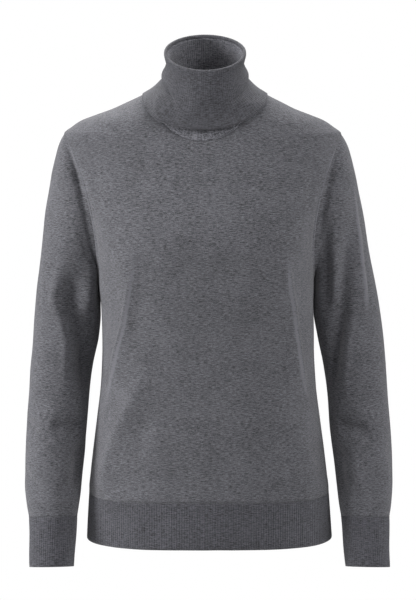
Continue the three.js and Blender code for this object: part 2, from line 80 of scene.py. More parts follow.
class SmoothTable:
    """A table of named columns, read between its rows along smooth curves that never overshoot."""

    def __init__(self, names: str, rows: Sequence[Sequence[float]], numbered: bool = False) -> None:
        """Keeps the rows, sorted by their first column.

        Args:
            names: The column names, the key first.
            rows: One tuple of numbers for each row.
            numbered: True where the rows have no key and are spread evenly from 0 to 1.
        """
        data = np.array(rows, float)
        if numbered:
            data = np.column_stack([np.linspace(0, 1, len(data)), data])
            names = "at " + names
        data = data[np.argsort(data[:, 0])]
        self.keys = data[:, 0]
        self.columns = {name: data[:, i] for i, name in enumerate(names.split())}

    def read(self, name: str, at: Grid) -> Grid:
        """Reads one column at any number of places.

        Args:
            name: The column.
            at: The places, in the key's units.

        Returns:
            The values, shaped as the places are.
        """
        x, y = self.keys, self.columns[name]
        steps = np.diff(y) / np.diff(x)
        both = steps[:-1] * steps[1:] > 0
        total = np.where(both, steps[:-1] + steps[1:], 1)
        middle = np.where(both, 2 * steps[:-1] * steps[1:] / total, 0)
        slopes = np.concatenate([steps[:1], middle, steps[-1:]])
        at = np.asarray(at, float)
        i = np.clip(np.searchsorted(x, at, side="right") - 1, 0, len(x) - 2)
        h = x[i + 1] - x[i]
        s = (at - x[i]) / h
        inside = (
            (2 * s**3 - 3 * s**2 + 1) * y[i]
            + (s**3 - 2 * s**2 + s) * h * slopes[i]
            + (3 * s**2 - 2 * s**3) * y[i + 1]
            + (s**3 - s**2) * h * slopes[i + 1]
        )
        low, high = y[0] + slopes[0] * (at - x[0]), y[-1] + slopes[-1] * (at - x[-1])
        return np.where(at < x[0], low, np.where(at > x[-1], high, inside))


def smooth_step(value: Grid) -> Grid:
    """Eases from 0 to 1 as the value does."""
    s = np.clip(value, 0, 1)
    return s * s * (3 - 2 * s)


@dataclass(frozen=True)
class Fold:
    """A soft fold along a path of places; depth is how far the cloth stands out, or sinks in."""

    path: Sequence[tuple[float, float]]
    width: float
    depth: float

    def lift(self, x: Grid, y: Grid, unit: Grid | float = 1.0) -> Grid:
        """How far the fold lifts the cloth at each place, fading out at both its ends.

        Args:
            x: The places across, in millimetres.
            y: The places up, in millimetres.
            unit: Millimetres for one step of the path's own first number.

        Returns:
            The lifts, in millimetres.
        """
        path = [(a * unit, b) for a, b in self.path]
        if len(path) == 2:
            (x1, y1), (x2, y2) = path
            dx, dy = x2 - x1, y2 - y1
            length = np.hypot(dx, dy)
            along = ((x - x1) * dx + (y - y1) * dy) / length**2
            aside = ((x - x1) * dy - (y - y1) * dx) / length
            fade = smooth_step((along + 0.15) / 0.5) * smooth_step((1.15 - along) / 0.5)
            return self.depth * fade * np.exp(-((aside / self.width) ** 2))
        near, where, run = np.full(np.broadcast(x, y).shape, np.inf), 0.0, 0.0
        for (x1, y1), (x2, y2) in zip(path, path[1:]):
            dx, dy = x2 - x1, y2 - y1
            length = np.hypot(dx, dy)
            part = np.clip(((x - x1) * dx + (y - y1) * dy) / length**2, 0, 1)
            gap = np.hypot(x - x1 - part * dx, y - y1 - part * dy)
            where = np.where(gap < near, run + part * length, where)
            near = np.minimum(near, gap)
            run = run + length
        fade = smooth_step(where / run / 0.3) * smooth_step((1 - where / run) / 0.3)
        return self.depth * fade * np.exp(-((near / self.width) ** 2))


def painted_crest_highlight(folds: Sequence[Fold], x: Grid, y: Grid) -> Grid:
    """How much painted highlight each place takes along the sharp crests of the folds.

    Args:
        folds: The folds, of which only the sharp ones that stand out get the painted highlight.
        x: The places across, in millimetres.
        y: The places up, in millimetres.

    Returns:
        The shares, from 0 to 1.
    """
    painted_highlit = [fold for fold in folds if fold.width < SHARP_WIDTH and fold.depth > 0]
    sharp = [Fold(fold.path, fold.width * 0.75, 1.0) for fold in painted_highlit]
    return np.clip(all_lifts(sharp, x, y), 0, 1)


def all_lifts(folds: Sequence[Fold], x: Grid, y: Grid) -> Grid:
    """The lifts of several folds, added."""
    return sum((fold.lift(x, y) for fold in folds), np.zeros(np.broadcast(x, y).shape))


def unevenness(x: Grid, y: Grid, seed: int) -> Grid:
    """The slight hollows and swells, a third of a millimetre high, that worn knitwear keeps.

    Args:
        x: The places across, in millimetres.
        y: The places up, in millimetres.
        seed: Picks the pattern.

    Returns:
        The lifts, in millimetres.
    """
    waves, height = 9, 0.13
    random = np.random.default_rng(seed)
    total = np.zeros(np.broadcast(x, y).shape)
    for _ in range(waves):
        span, turn, start = random.uniform(34, 90), random.uniform(-0.7, 0.7), random.uniform(0, 6.3)
        along = x * math.cos(turn) + y * math.sin(turn)
        total += height * np.sin(along * 2 * math.pi / span + start)
    return total


# ---------------------------------------------------------------------------------------------
# Node trees
# ---------------------------------------------------------------------------------------------


def add_node(
    tree: bpy.types.NodeTree, kind: str, inputs: Mapping[Any, Any] | None = None, **settings: Any
) -> bpy.types.Node:
    """Adds a node with its settings, values and links.

    Args:
        tree: The node tree.
        kind: The node's type name.
        inputs: Input names or numbers, each with a value or with the socket that feeds it.
        **settings: The node's own properties.

    Returns:
        The new node.
    """
    node = tree.nodes.new(kind)
    for name, value in settings.items():
        setattr(node, name, value)
    for key, value in (inputs or {}).items():
        if isinstance(value, bpy.types.NodeSocket):
            tree.links.new(value, node.inputs[key])
        else:
            node.inputs[key].default_value = value
    return node


def linear(srgb: str) -> tuple[float, float, float, float]:
    """Turns an sRGB hex value into the linear colour that Blender works in."""
    parts = [int(srgb[i : i + 2], 16) / 255 for i in (1, 3, 5)]
    return (*[c / 12.92 if c <= 0.04045 else ((c + 0.055) / 1.055) ** 2.4 for c in parts], 1.0)


@dataclass(frozen=True)
class MelangeWool:
    """Knitted merino spun from grey fibres of many shades.

    Each strand changes shade every few stitches, which the eye reads as short light and dark
    streaks along the courses. The surface is matt with a faint pale nap. A streak is one course
    high, about 0.7 mm. The stitches' own relief is drawn at 1.6 by 1.2 mm in the jersey, about half
    as large again as real ones, so that it lasts at the size of the picture.
    """

    name: str
    dark: str
    light: str
    wale_mm: float
    course_mm: float
    relief_mm: float
    ribbed: bool
    streak_mm: float = 5.5
    streak_height_mm: float = 0.72
    strand_share: float = 0.22
    streak_share: float = 0.38
    fleck_share: float = 0.34
    cloud_share: float = 0.06
    contrast: float = 1.4
    # Painted shade in the furrows between ribs and painted light on the rib tops, by this share.
    groove_painted_shade: float = 0.0
    # How much painted highlight the sharp fold tops and the armhole edges take.
    painted_highlight: float = 0.16
    fuzz_mm: float = 0.9

    def build(self) -> bpy.types.Material:
        """Builds the material on the cloth's own UV map, which is in metres.

        Returns:
            The material.
        """
        material = bpy.data.materials.new(self.name)
        material.use_nodes = True
        tree = material.node_tree
        tree.nodes.clear()
        uv = add_node(tree, "ShaderNodeUVMap", uv_map="cloth").outputs[0]

        def sized(across_mm: float, along_mm: float, shift: float) -> bpy.types.NodeSocket:
            """The UV map in units of a pattern's own size.

            Args:
                across_mm: The pattern's width.
                along_mm: Its height.
                shift: How far it is moved, so that no two patterns fall together.

            Returns:
                The socket with the scaled map.
            """
            scale, place = (1 / (across_mm * MM), 1 / (along_mm * MM), 1.0), (shift, shift, shift)
            return add_node(
                tree, "ShaderNodeMapping", {"Vector": uv, "Scale": scale, "Location": place}
            ).outputs[0]

        def noise(vector: bpy.types.NodeSocket, detail: float, rough: float) -> bpy.types.NodeSocket:
            """A noise with its features one unit across."""
            given = {"Vector": vector, "Scale": 1.0, "Detail": detail, "Roughness": rough}
            return add_node(tree, "ShaderNodeTexNoise", given).outputs[0]

        def maths(operation: str, first: Any, second: Any = 0.0) -> bpy.types.NodeSocket:
            """One sum."""
            return add_node(tree, "ShaderNodeMath", {0: first, 1: second}, operation=operation).outputs[0]

        streaks = noise(sized(self.streak_mm, self.streak_height_mm, 3.1), 1.0, 0.5)
        strands = noise(sized(self.streak_mm * 2.6, self.streak_height_mm, 8.9), 1.0, 0.5)
        flecks = noise(sized(0.8, 0.7, 11.7), 1.0, 0.5)
        clouds = noise(sized(60.0, 26.0, 5.3), 2.0, 0.5)
        shade = maths("ADD", maths("MULTIPLY", streaks, self.streak_share), maths("MULTIPLY", flecks, self.fleck_share))
        shade = maths("ADD", shade, maths("MULTIPLY", strands, self.strand_share))
        shade = maths("ADD", shade, maths("MULTIPLY", clouds, self.cloud_share))
        # Painted shade in the rib furrows and painted light on the rib tops, from the rib's stored wave.
        if self.groove_painted_shade:
            painted_crest_light = add_node(tree, "ShaderNodeAttribute", attribute_name="rib_painted_crest_light").outputs["Fac"]
            shade = maths("ADD", shade, maths("MULTIPLY", painted_crest_light, self.groove_painted_shade))
        # Painted highlight: lighter colour along the sharp fold tops and beside the armholes, read from its attribute.
        painted_highlit = add_node(tree, "ShaderNodeAttribute", attribute_name="painted_crest_light").outputs["Fac"]
        shade = maths("ADD", shade, maths("MULTIPLY", painted_highlit, self.painted_highlight))
        spread = 0.11 / self.contrast
        ramp = add_node(tree, "ShaderNodeMapRange", {"Value": shade, 1: 0.5 - spread, 2: 0.5 + spread}, clamp=True)
        colour = add_node(
            tree, "ShaderNodeMix", {"Factor": ramp.outputs[0], 6: linear(self.dark), 7: linear(self.light)},
            data_type="RGBA",
        )

        # A column of knit stitches: each is a V, so the ridge leans the other way past its middle.
        parts = add_node(tree, "ShaderNodeSeparateXYZ", {0: sized(self.wale_mm, self.course_mm, 0.0)})
        across = maths("ABSOLUTE", maths("SUBTRACT", maths("FRACT", parts.outputs[0]), 0.5))
        phase = maths("ADD", parts.outputs[1], maths("MULTIPLY", across, 1.3))
        legs = maths("MULTIPLY", maths("COSINE", maths("MULTIPLY", phase, 2 * math.pi)), 0.5)
        furrow = maths("MULTIPLY", maths("MULTIPLY", across, across), -2.5 if not self.ribbed else -0.5)
        height = maths("ADD", legs, furrow)
        fuzz = noise(sized(self.fuzz_mm, self.fuzz_mm, 7.9), 2.0, 0.7)
        height = maths("ADD", height, maths("MULTIPLY", fuzz, 0.9))
        bump = add_node(tree, "ShaderNodeBump", {"Height": height, "Strength": 0.55, "Distance": self.relief_mm * MM})
        rough = add_node(tree, "ShaderNodeMapRange", {"Value": flecks, 1: 0.3, 2: 0.7, 3: 0.82, 4: 0.95})
        shader = add_node(
            tree, "ShaderNodeBsdfPrincipled",
            {
                "Base Color": colour.outputs[2], "Roughness": rough.outputs[0], "Normal": bump.outputs[0],
                "IOR": 1.54, "Specular IOR Level": 0.22, "Sheen Weight": 0.28, "Sheen Roughness": 0.55,
                "Sheen Tint": (0.9, 0.9, 0.93, 1.0),
            },
        )
        add_node(tree, "ShaderNodeOutputMaterial", {0: shader.outputs[0]})
        return material


@dataclass(frozen=True)
class PaintedPlaster:
    """The studio's floor: pale matt paint, so smooth that nothing shows in it."""

    name: str = "studio_paint"
    colour: str = "#dadada"

    def build(self) -> bpy.types.Material:
        """Builds the material.

        Returns:
            The material.
        """
        material = bpy.data.materials.new(self.name)
        material.use_nodes = True
        shader = material.node_tree.nodes["Principled BSDF"]
        shader.inputs["Base Color"].default_value = linear(self.colour)
        shader.inputs["Roughness"].default_value = 0.9
        return material


def new_group(
    name: str, sizes: Mapping[str, tuple[str, Any]]
) -> tuple[bpy.types.NodeTree, bpy.types.Node, bpy.types.Node]:
    """Starts a Geometry Nodes tree with named inputs.

    Args:
        name: The tree's name.
        sizes: Input names, each with its socket type and default value.

    Returns:
        The tree, its input node and its output node.
    """
    tree = bpy.data.node_groups.new(name, "GeometryNodeTree")
    tree.interface.new_socket("Geometry", in_out="INPUT", socket_type="NodeSocketGeometry")
    for label, (kind, default) in sizes.items():
        socket = tree.interface.new_socket(label, in_out="INPUT", socket_type=kind)
        if default is not None:
            socket.default_value = default
    tree.interface.new_socket("Geometry", in_out="OUTPUT", socket_type="NodeSocketGeometry")
    return tree, add_node(tree, "NodeGroupInput"), add_node(tree, "NodeGroupOutput")


def rib_tree() -> bpy.types.NodeTree:
    """Builds the tree that raises one-by-one ribs along the 'wale' attribute of a smooth band.

    Returns:
        The tree.
    """
    tree, given, result = new_group("one_by_one_rib", {
        "Ribs": ("NodeSocketFloat", 100.0),
        "Relief": ("NodeSocketFloat", 0.0008),
        "Material": ("NodeSocketMaterial", None),
    })
    wale = add_node(tree, "GeometryNodeInputNamedAttribute", {"Name": "wale"}, data_type="FLOAT")
    fade = add_node(tree, "GeometryNodeInputNamedAttribute", {"Name": "rib_height"}, data_type="FLOAT")
    turns = add_node(tree, "ShaderNodeMath", {0: wale.outputs[0], 1: given.outputs["Ribs"]}, operation="MULTIPLY")
    angle = add_node(tree, "ShaderNodeMath", {0: turns.outputs[0], 1: 2 * math.pi}, operation="MULTIPLY")
    wave = add_node(tree, "ShaderNodeMath", {0: angle.outputs[0]}, operation="COSINE")
    height = add_node(tree, "ShaderNodeMath", {0: wave.outputs[0], 1: given.outputs["Relief"]}, operation="MULTIPLY")
    faded = add_node(tree, "ShaderNodeMath", {0: height.outputs[0], 1: fade.outputs[0]}, operation="MULTIPLY")
    normal = add_node(tree, "GeometryNodeInputNormal")
    along = {0: normal.outputs[0], "Scale": faded.outputs[0]}
    offset = add_node(tree, "ShaderNodeVectorMath", along, operation="SCALE")
    place = {"Geometry": given.outputs["Geometry"], "Offset": offset.outputs[0]}
    moved = add_node(tree, "GeometryNodeSetPosition", place)
    real = add_node(tree, "GeometryNodeRealizeInstances", {"Geometry": moved.outputs[0]})
    # The rib's wave is also stored, for the painted shade in its furrows and painted light on its tops.
    noted = add_node(
        tree, "GeometryNodeStoreNamedAttribute",
        {"Geometry": real.outputs[0], "Name": "rib_painted_crest_light", "Value": wave.outputs[0]},
        data_type="FLOAT", domain="POINT",
    )
    dressed = {"Geometry": noted.outputs[0], "Material": given.outputs["Material"]}
    done = add_node(tree, "GeometryNodeSetMaterial", dressed)
    tree.links.new(done.outputs[0], result.inputs[0])
    return tree


def seam_tree() -> bpy.types.NodeTree:
    """Builds the tree that lays a chain of linking stitches along a line.

    Returns:
        The tree.
    """
    tree, given, result = new_group("linking_chain", {
        "Pitch": ("NodeSocketFloat", 0.002),
        "Thickness": ("NodeSocketFloat", 0.0006),
        "Material": ("NodeSocketMaterial", None),
    })
    line = add_node(tree, "GeometryNodeMeshToCurve", {"Mesh": given.outputs["Geometry"]})
    steps = {"Curve": line.outputs[0], "Length": given.outputs["Pitch"]}
    spaced = add_node(tree, "GeometryNodeResampleCurve", steps, mode="LENGTH")
    tangent = add_node(tree, "GeometryNodeInputTangent")
    turned = add_node(tree, "FunctionNodeAlignRotationToVector", {"Vector": tangent.outputs[0]}, axis="X")
    bead = add_node(tree, "GeometryNodeMeshUVSphere", {"Segments": 6, "Rings": 4, "Radius": 1.0})
    long = add_node(tree, "ShaderNodeMath", {0: given.outputs["Pitch"], 1: 0.62}, operation="MULTIPLY")
    size = add_node(
        tree, "ShaderNodeCombineXYZ",
        {0: long.outputs[0], 1: given.outputs["Thickness"], 2: given.outputs["Thickness"]},
    )
    chain = add_node(
        tree, "GeometryNodeInstanceOnPoints",
        {
            "Points": spaced.outputs[0], "Instance": bead.outputs[0],
            "Rotation": turned.outputs[0], "Scale": size.outputs[0],
        },
    )
    real = add_node(tree, "GeometryNodeRealizeInstances", {"Geometry": chain.outputs[0]})
    soft = add_node(tree, "GeometryNodeSetShadeSmooth", {"Geometry": real.outputs[0]})
    dressed = {"Geometry": soft.outputs[0], "Material": given.outputs["Material"]}
    done = add_node(tree, "GeometryNodeSetMaterial", dressed)
    tree.links.new(done.outputs[0], result.inputs[0])
    return tree


# ---------------------------------------------------------------------------------------------
# Meshes
# ---------------------------------------------------------------------------------------------


def path_lengths(points: Grid, axis: int) -> Grid:
    """Running distance along the rows or the columns of a grid of points.

    Args:
        points: The grid.
        axis: 0 to run from row to row, 1 to run from column to column.

    Returns:
        The distances from the first point, in the grid's units.
    """
    steps = np.linalg.norm(np.diff(points, axis=axis), axis=2)
    start = np.zeros_like(np.take(steps, [0], axis=axis))
    return np.concatenate([start, np.cumsum(steps, axis=axis)], axis=axis)


def even_columns(points: Grid, count: int, closed: bool) -> Grid:
    """Moves the points of each row so that they are evenly spaced along it.

    Args:
        points: The rows of points.
        count: How many columns the result has.
        closed: True where each row comes round to its start, which the result leaves out.

    Returns:
        The rows with new columns.
    """
    rows = []
    for row in points:
        line = np.vstack([row, row[:1]]) if closed else row
        run = np.concatenate([[0], np.cumsum(np.linalg.norm(np.diff(line, axis=0), axis=1))])
        at = np.linspace(0, run[-1], count + 1 if closed else count)
        rows.append(np.column_stack([np.interp(at, run, line[:, k]) for k in range(3)]))
    result = np.array(rows)
    return result[:, :-1] if closed else result


@dataclass
class KnitShell:
    """A thin knitted shell from a grid of points: rows along the piece, columns across it."""

    name: str
    points: Grid
    closed: bool
    axis: Grid
    uv: Grid | None = None
    wale: Grid | None = None
    rib_height: Grid | None = None
    # The share of painted highlight at each point, kept as an attribute.
    painted_crest_light: Grid | None = None
    thickness: float = 1.3

    def cloth_uv(self) -> Grid:
        """The cloth's own map, with one more column where the grid is closed.

        Returns:
            The map, in metres.
        """
        if self.uv is not None:
            return self.uv
        grid = np.concatenate([self.points, self.points[:, :1]], axis=1) if self.closed else self.points
        across, along = path_lengths(grid, 1), path_lengths(grid, 0)
        middle = across[len(across) // 2] - across[len(across) // 2].mean()
        up = np.broadcast_to(along.mean(axis=1, keepdims=True), across.shape)
        return np.stack([np.broadcast_to(middle, across.shape), up], axis=2) * MM

    def build(self) -> bpy.types.Object:
        """Builds the mesh with its faces pointing out of the cloth.

        Returns:
            The object, with its place in its mesh.
        """
        rows, columns, _ = self.points.shape
        spans = columns if self.closed else columns - 1
        i, j = np.meshgrid(np.arange(rows - 1), np.arange(spans), indexing="ij")
        i, j = i.ravel(), j.ravel()
        corners = [(i, j), (i, j + 1), (i + 1, j + 1), (i + 1, j)]
        a, b, d = (self.points[r, c % columns] for r, c in (corners[0], corners[1], corners[3]))
        outward = np.einsum("ij,ij->i", np.cross(b - a, d - a), a - self.axis[i])
        if outward.sum() < 0:
            corners.reverse()
        faces = np.stack([r * columns + c % columns for r, c in corners], axis=1)
        mesh = bpy.data.meshes.new(self.name)
        mesh.from_pydata((self.points.reshape(-1, 3) * MM).tolist(), [], faces.tolist())
        uv = self.cloth_uv()
        layer = mesh.uv_layers.new(name="cloth")
        layer.data.foreach_set("uv", np.stack([uv[r, c] for r, c in corners], axis=1).ravel())
        for label, values in (("wale", self.wale), ("rib_height", self.rib_height), ("painted_crest_light", self.painted_crest_light)):
            if values is not None:
                made = mesh.attributes.new(label, "FLOAT", "POINT")
                made.data.foreach_set("value", np.broadcast_to(values, (rows, columns)).ravel().astype(np.float32))
        mesh.polygons.foreach_set("use_smooth", [True] * len(mesh.polygons))
        thing = bpy.data.objects.new(self.name, mesh)
        bpy.context.scene.collection.objects.link(thing)
        return thing


def settle(thing: bpy.types.Object) -> bpy.types.Object:
    """Turns an object with modifiers into a plain mesh.

    Args:
        thing: The object, which keeps its name.

    Returns:
        The same object.
    """
    bpy.context.view_layer.update()
    graph = bpy.context.evaluated_depsgraph_get()
    evaluated = thing.evaluated_get(graph)
    mesh = bpy.data.meshes.new_from_object(evaluated, preserve_all_data_layers=True, depsgraph=graph)
    old = thing.data
    thing.modifiers.clear()
    thing.data = mesh
    bpy.data.meshes.remove(old)
    mesh.name = thing.name
    return thing


def thicken(thing: bpy.types.Object, millimetres: float) -> None:
    """Gives a shell its thickness, inwards from the side that shows.

    Args:
        thing: The shell.
        millimetres: The thickness.
    """
    wall = thing.modifiers.new("thickness", "SOLIDIFY")
    wall.thickness = millimetres * MM
    wall.offset = -1.0
    wall.use_rim = True


def apply_tree(thing: bpy.types.Object, tree: bpy.types.NodeTree, **sizes: Any) -> None:
    """Adds a Geometry Nodes modifier with its sizes.

    Args:
        thing: The object that gets it.
        tree: The node tree.
        **sizes: The tree's inputs, by name.
    """
    modifier = thing.modifiers.new(tree.name, "NODES")
    modifier.node_group = tree
    for item in tree.interface.items_tree:
        if item.item_type == "SOCKET" and item.in_out == "INPUT" and item.name in sizes:
            modifier[item.identifier] = sizes[item.name]


@dataclass(frozen=True)
class Cut:
    """How a piece is cut when it lies flat: width and length in metres, and its area."""

    width: float
    length: float
    area: float | None = None


@dataclass
class Wardrobe:
    """Finishes and trees that the pieces share, and the last step that every piece takes."""

    jersey: bpy.types.Material
    ribbing: bpy.types.Material
    # Painted-light and painted-shade copies of the ribbing, for the collar's two layers.
    collar_ribbing: Mapping[str, bpy.types.Material]
    ribs: bpy.types.NodeTree
    chain: bpy.types.NodeTree

    def finish_jersey(self, shell: KnitShell, node: str, cut: Cut, held: str = "stretched") -> bpy.types.Object:
        """Args:
            shell: The shell.
            node: The solid that the piece replaces.
            cut: How the piece is cut.
            held: How the cloth is held.

        Returns:
            The finished object.
        """
        thing = shell.build()
        thicken(thing, shell.thickness)
        settle(thing)
        thing.data.materials.clear()
        thing.data.materials.append(self.jersey)
        return self.declare(thing, node, "jersey", cut, held)

    def finish_ribbing(
        self, shell: KnitShell, node: str, cut: Cut, ribs: float, relief: float, held: str = "stretched"
    ) -> bpy.types.Object:
        """Args:
            shell: The smooth band.
            node: The solid that the piece replaces.
            cut: How the piece is cut.
            ribs: How many ribs the band has across it.
            relief: How far a rib stands out, in millimetres.
            held: How the cloth is held.

        Returns:
            The finished object.
        """
        thing = shell.build()
        # The standing layer takes the painted-light copy of the ribbing, the turned layer the painted-shade copy.
        material = self.collar_ribbing.get(node, self.ribbing)
        apply_tree(thing, self.ribs, Ribs=ribs, Relief=relief * MM, Material=material)
        thicken(thing, shell.thickness)
        settle(thing)
        return self.declare(thing, node, "ribbing", cut, held)

    def finish_seam(
        self, name: str, line: Grid, slot: str, closed: bool = False, pitch: float = 2.2, thickness: float = 0.5
    ) -> bpy.types.Object:
        """Lays a chain of linking stitches along a line of points.

        Args:
            name: The piece's name.
            line: The points, in millimetres.
            slot: The material slot whose finish the yarn has.
            closed: True where the line comes round to its start.
            pitch: The length of a stitch, in millimetres.
            thickness: Half the yarn's thickness, in millimetres.

        Returns:
            The finished object.
        """
        mesh = bpy.data.meshes.new(name)
        count = len(line)
        edges = [(i, i + 1) for i in range(count - 1)] + ([(count - 1, 0)] if closed else [])
        mesh.from_pydata((line * MM).tolist(), edges, [])
        thing = bpy.data.objects.new(name, mesh)
        bpy.context.scene.collection.objects.link(thing)
        material = self.jersey if slot == "jersey" else self.ribbing
        apply_tree(thing, self.chain, Pitch=pitch * MM, Thickness=thickness * MM, Material=material)
        settle(thing)
        layer = thing.data.uv_layers.new(name="cloth")
        places = np.array([thing.data.vertices[loop.vertex_index].co[:] for loop in thing.data.loops])
        layer.data.foreach_set("uv", places[:, [0, 2]].ravel())
        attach(thing, "root")
        LOG.info("%s: %d faces", name, len(thing.data.polygons))
        return thing

    @staticmethod
    def declare(thing: bpy.types.Object, node: str, slot: str, cut: Cut, held: str) -> bpy.types.Object:
        """Hangs a finished piece of cloth under the root, hides the solid that it replaces, and logs its faces.

        Args:
            thing: The finished object.
            node: The solid that it replaces.
            slot: Its material slot; not used.
            cut: How the piece is cut; not used.
            held: How the cloth is held; not used.

        Returns:
            The same object.
        """
        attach(thing, "root")
        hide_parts(node)
        LOG.info("%s: %d faces", thing.name, len(thing.data.polygons))
        return thing


# ---------------------------------------------------------------------------------------------
# The garment's form
# ---------------------------------------------------------------------------------------------

LEAN = SmoothTable("z x", [
    (60, 0), (0, 0), (-50, -3.5), (-100, -2.5), (-190, -1), (-260, 1.4), (-350, 4.2), (-450, 4.6), (-580, 5.5),
    (-670, 6.5),
])


def with_lean(points: Grid) -> Grid:
    """Lets the whole garment hang a little to one side towards the hem.

    Args:
        points: The points, in millimetres.

    Returns:
        The moved points.
    """
    result = points.copy()
    result[..., 0] += LEAN.read("x", points[..., 2])
    return result


@dataclass
class Body:
    """The front and back of the body: sections at each height, cut away by the armholes and neck."""

    hem_drop: float = 632.0
    rib_height: float = 66.0
    neck_half: float = 70.0
    neck_drop: Mapping[Face, float] = field(default_factory=lambda: {Face.FRONT: 68.0, Face.BACK: 5.0})
    shoulder_half: float = 191.5
    shoulder_drop: float = 62.0
    underarm_half: float = 150.0
    underarm_drop: float = 262.0
    armhole_depth: float = 48.0
    armhole_bow: Mapping[Face, float] = field(default_factory=lambda: {Face.FRONT: 15.0, Face.BACK: 10.0})
    hem_lift: float = 5.0
    column_crowd: float = 1.85
    edge_share: float = 0.9
    roll_width: float = 2.6
    roll_height: float = 2.0
    sections: SmoothTable = field(default_factory=lambda: SmoothTable("z half front back frontPower backPower", [
        (0, 70, 60, 64, 2.2, 2.2),
        (-2.5, 76, 61, 66, 2.2, 2.2),
        (-9, 87, 62, 69, 2.2, 2.2),
        (-19, 107.5, 64, 74, 2.05, 2.05),
        (-28, 126.5, 66, 78, 2.05, 2.05),
        (-36, 148, 68, 82, 2.05, 2.05),
        (-44, 168, 70, 85, 2.05, 2.05),
        (-52, 180, 72, 88, 2.05, 2.05),
        (-62, 191.5, 75, 91, 2.05, 2.05),
        (-100, 180, 88, 98, 2.2, 2.15),
        (-150, 165, 107, 102, 2.35, 2.25),
        (-200, 152, 122, 101, 2.5, 2.3),
        (-230, 150, 125, 98, 2.5, 2.3),
        (-262, 150, 122, 95, 2.5, 2.4),
        (-310, 148, 115, 90, 2.5, 2.4),
        (-360, 148, 110, 87, 2.5, 2.5),
        (-410, 150.5, 108, 88, 2.5, 2.5),
        (-460, 156.5, 107, 92, 2.4, 2.5),
        (-510, 163, 106, 97, 2.3, 2.4),
        (-566, 169, 105, 101, 2.3, 2.3),
        (-632, 173.5, 104, 102, 2.15, 2.3),
    ]))
    folds: Mapping[Face, Sequence[Fold]] = field(default_factory=lambda: {
        Face.FRONT: (
            Fold(((-102, -215), (-112, -330)), 12, 4.5),
            Fold(((-110, -305), (-134, -395)), 12, 4),
            Fold(((109, -215), (116, -340)), 13, 4),
            Fold(((115, -320), (132, -420)), 12, 3),
            Fold(((-92, -385), (-128, -480)), 15, 5),
            Fold(((-122, -460), (-152, -560)), 14, 4),
            Fold(((-75, -250), (85, -250)), 24, -5),
            # Sharper creases along the tops of the large folds, and smaller ones beside them.
            Fold(
                ((-94, -206), (-99, -246), (-106, -280), (-114, -318), (-125, -355), (-134, -395), (-145, -445)),
                2.6, 2.2,
            ),
            Fold(
                ((112, -206), (113, -260), (118, -294), (121, -325), (126, -362), (132, -400), (142, -446)),
                2.6, 2.2,
            ),
            Fold(((-84, -372), (-100, -418), (-116, -449), (-129, -476), (-137, -500), (-149, -560)), 8, 2.2),
            Fold(((124, -462), (136, -498), (144, -526), (150, -560)), 9, 1.8),
            Fold(((-66, -222), (-30, -233), (8, -236), (48, -231), (82, -218)), 15, -1.8),
            Fold(((-90, -258), (-96, -300), (-104, -340)), 8, -1.4),
            Fold(((102, -262), (108, -300), (112, -340)), 8, -1.3),
            Fold(((-150, -92), (-147, -120), (-140, -152)), 7, -1.5),
            Fold(((152, -92), (148, -122), (141, -156)), 7, -1.4),
            Fold(((-130, -232), (-104, -226), (-82, -214)), 8, 1.3),
            Fold(((134, -236), (114, -228), (92, -214)), 8, 1.2),
            Fold(((-70, -420), (-92, -470), (-104, -540)), 10, -1.6),
            Fold(((88, -430), (104, -480), (112, -545)), 10, -1.4),
            Fold(((20, -440), (-6, -500), (-14, -558)), 14, 1.1),
            Fold(((-58, -84), (-84, -110), (-96, -150)), 13, -1.2),
            Fold(((62, -86), (90, -112), (104, -150)), 13, -1.1),
        ),
        Face.BACK: (
            Fold(((-60, -320), (-126, -480)), 18, 4),
            Fold(((66, -335), (126, -510)), 18, 4),
            Fold(((-60, -175), (70, -180)), 30, -3),
            Fold(((-134, -262), (-122, -310), (-104, -360)), 7, 2),
            Fold(((134, -256), (120, -300), (102, -352)), 7, 1.8),
            Fold(((-24, -290), (-44, -350), (-74, -400)), 11, -2),
            Fold(((30, -300), (54, -352), (84, -410)), 11, -1.8),
            Fold(((-136, -372), (-112, -404), (-84, -428)), 8, 1.8),
            Fold(((138, -392), (112, -424), (88, -452)), 8, 1.7),
            Fold(((-118, -96), (-88, -124), (-48, -140)), 13, -1.5),
            Fold(((118, -94), (90, -122), (52, -138)), 13, -1.4),
            Fold(((-14, -470), (-36, -512), (-62, -560)), 11, 1.7),
            Fold(((-144, -120), (-138, -160), (-132, -205)), 7, 1.6),
            Fold(((144, -118), (138, -160), (131, -208)), 7, 1.5),
            Fold(((20, -60), (4, -100), (-2, -150)), 16, 1.0),
        ),
    })

    @property
    def rib_top(self) -> float:
        """The height where the panels meet the hem band, at the side seams."""
        return -(self.hem_drop - self.rib_height)

    def armhole_edge(self, face: Face, z: Grid) -> tuple[Grid, Grid]:
        """Where the armhole's edge lies at each height.

        Args:
            face: The panel.
            z: The heights.

        Returns:
            How far out it lies, and how far in front of or behind the shoulder seam.
        """
        drop = self.underarm_drop - self.shoulder_drop
        cosine = np.clip((2 * z + self.shoulder_drop + self.underarm_drop) / drop, -1, 1)
        sine = np.sqrt(1 - cosine**2)
        middle = (self.shoulder_half + self.underarm_half) / 2
        reach = (self.shoulder_half - self.underarm_half) / 2
        return middle + reach * cosine - self.armhole_bow[face] * sine**2, self.armhole_depth * sine

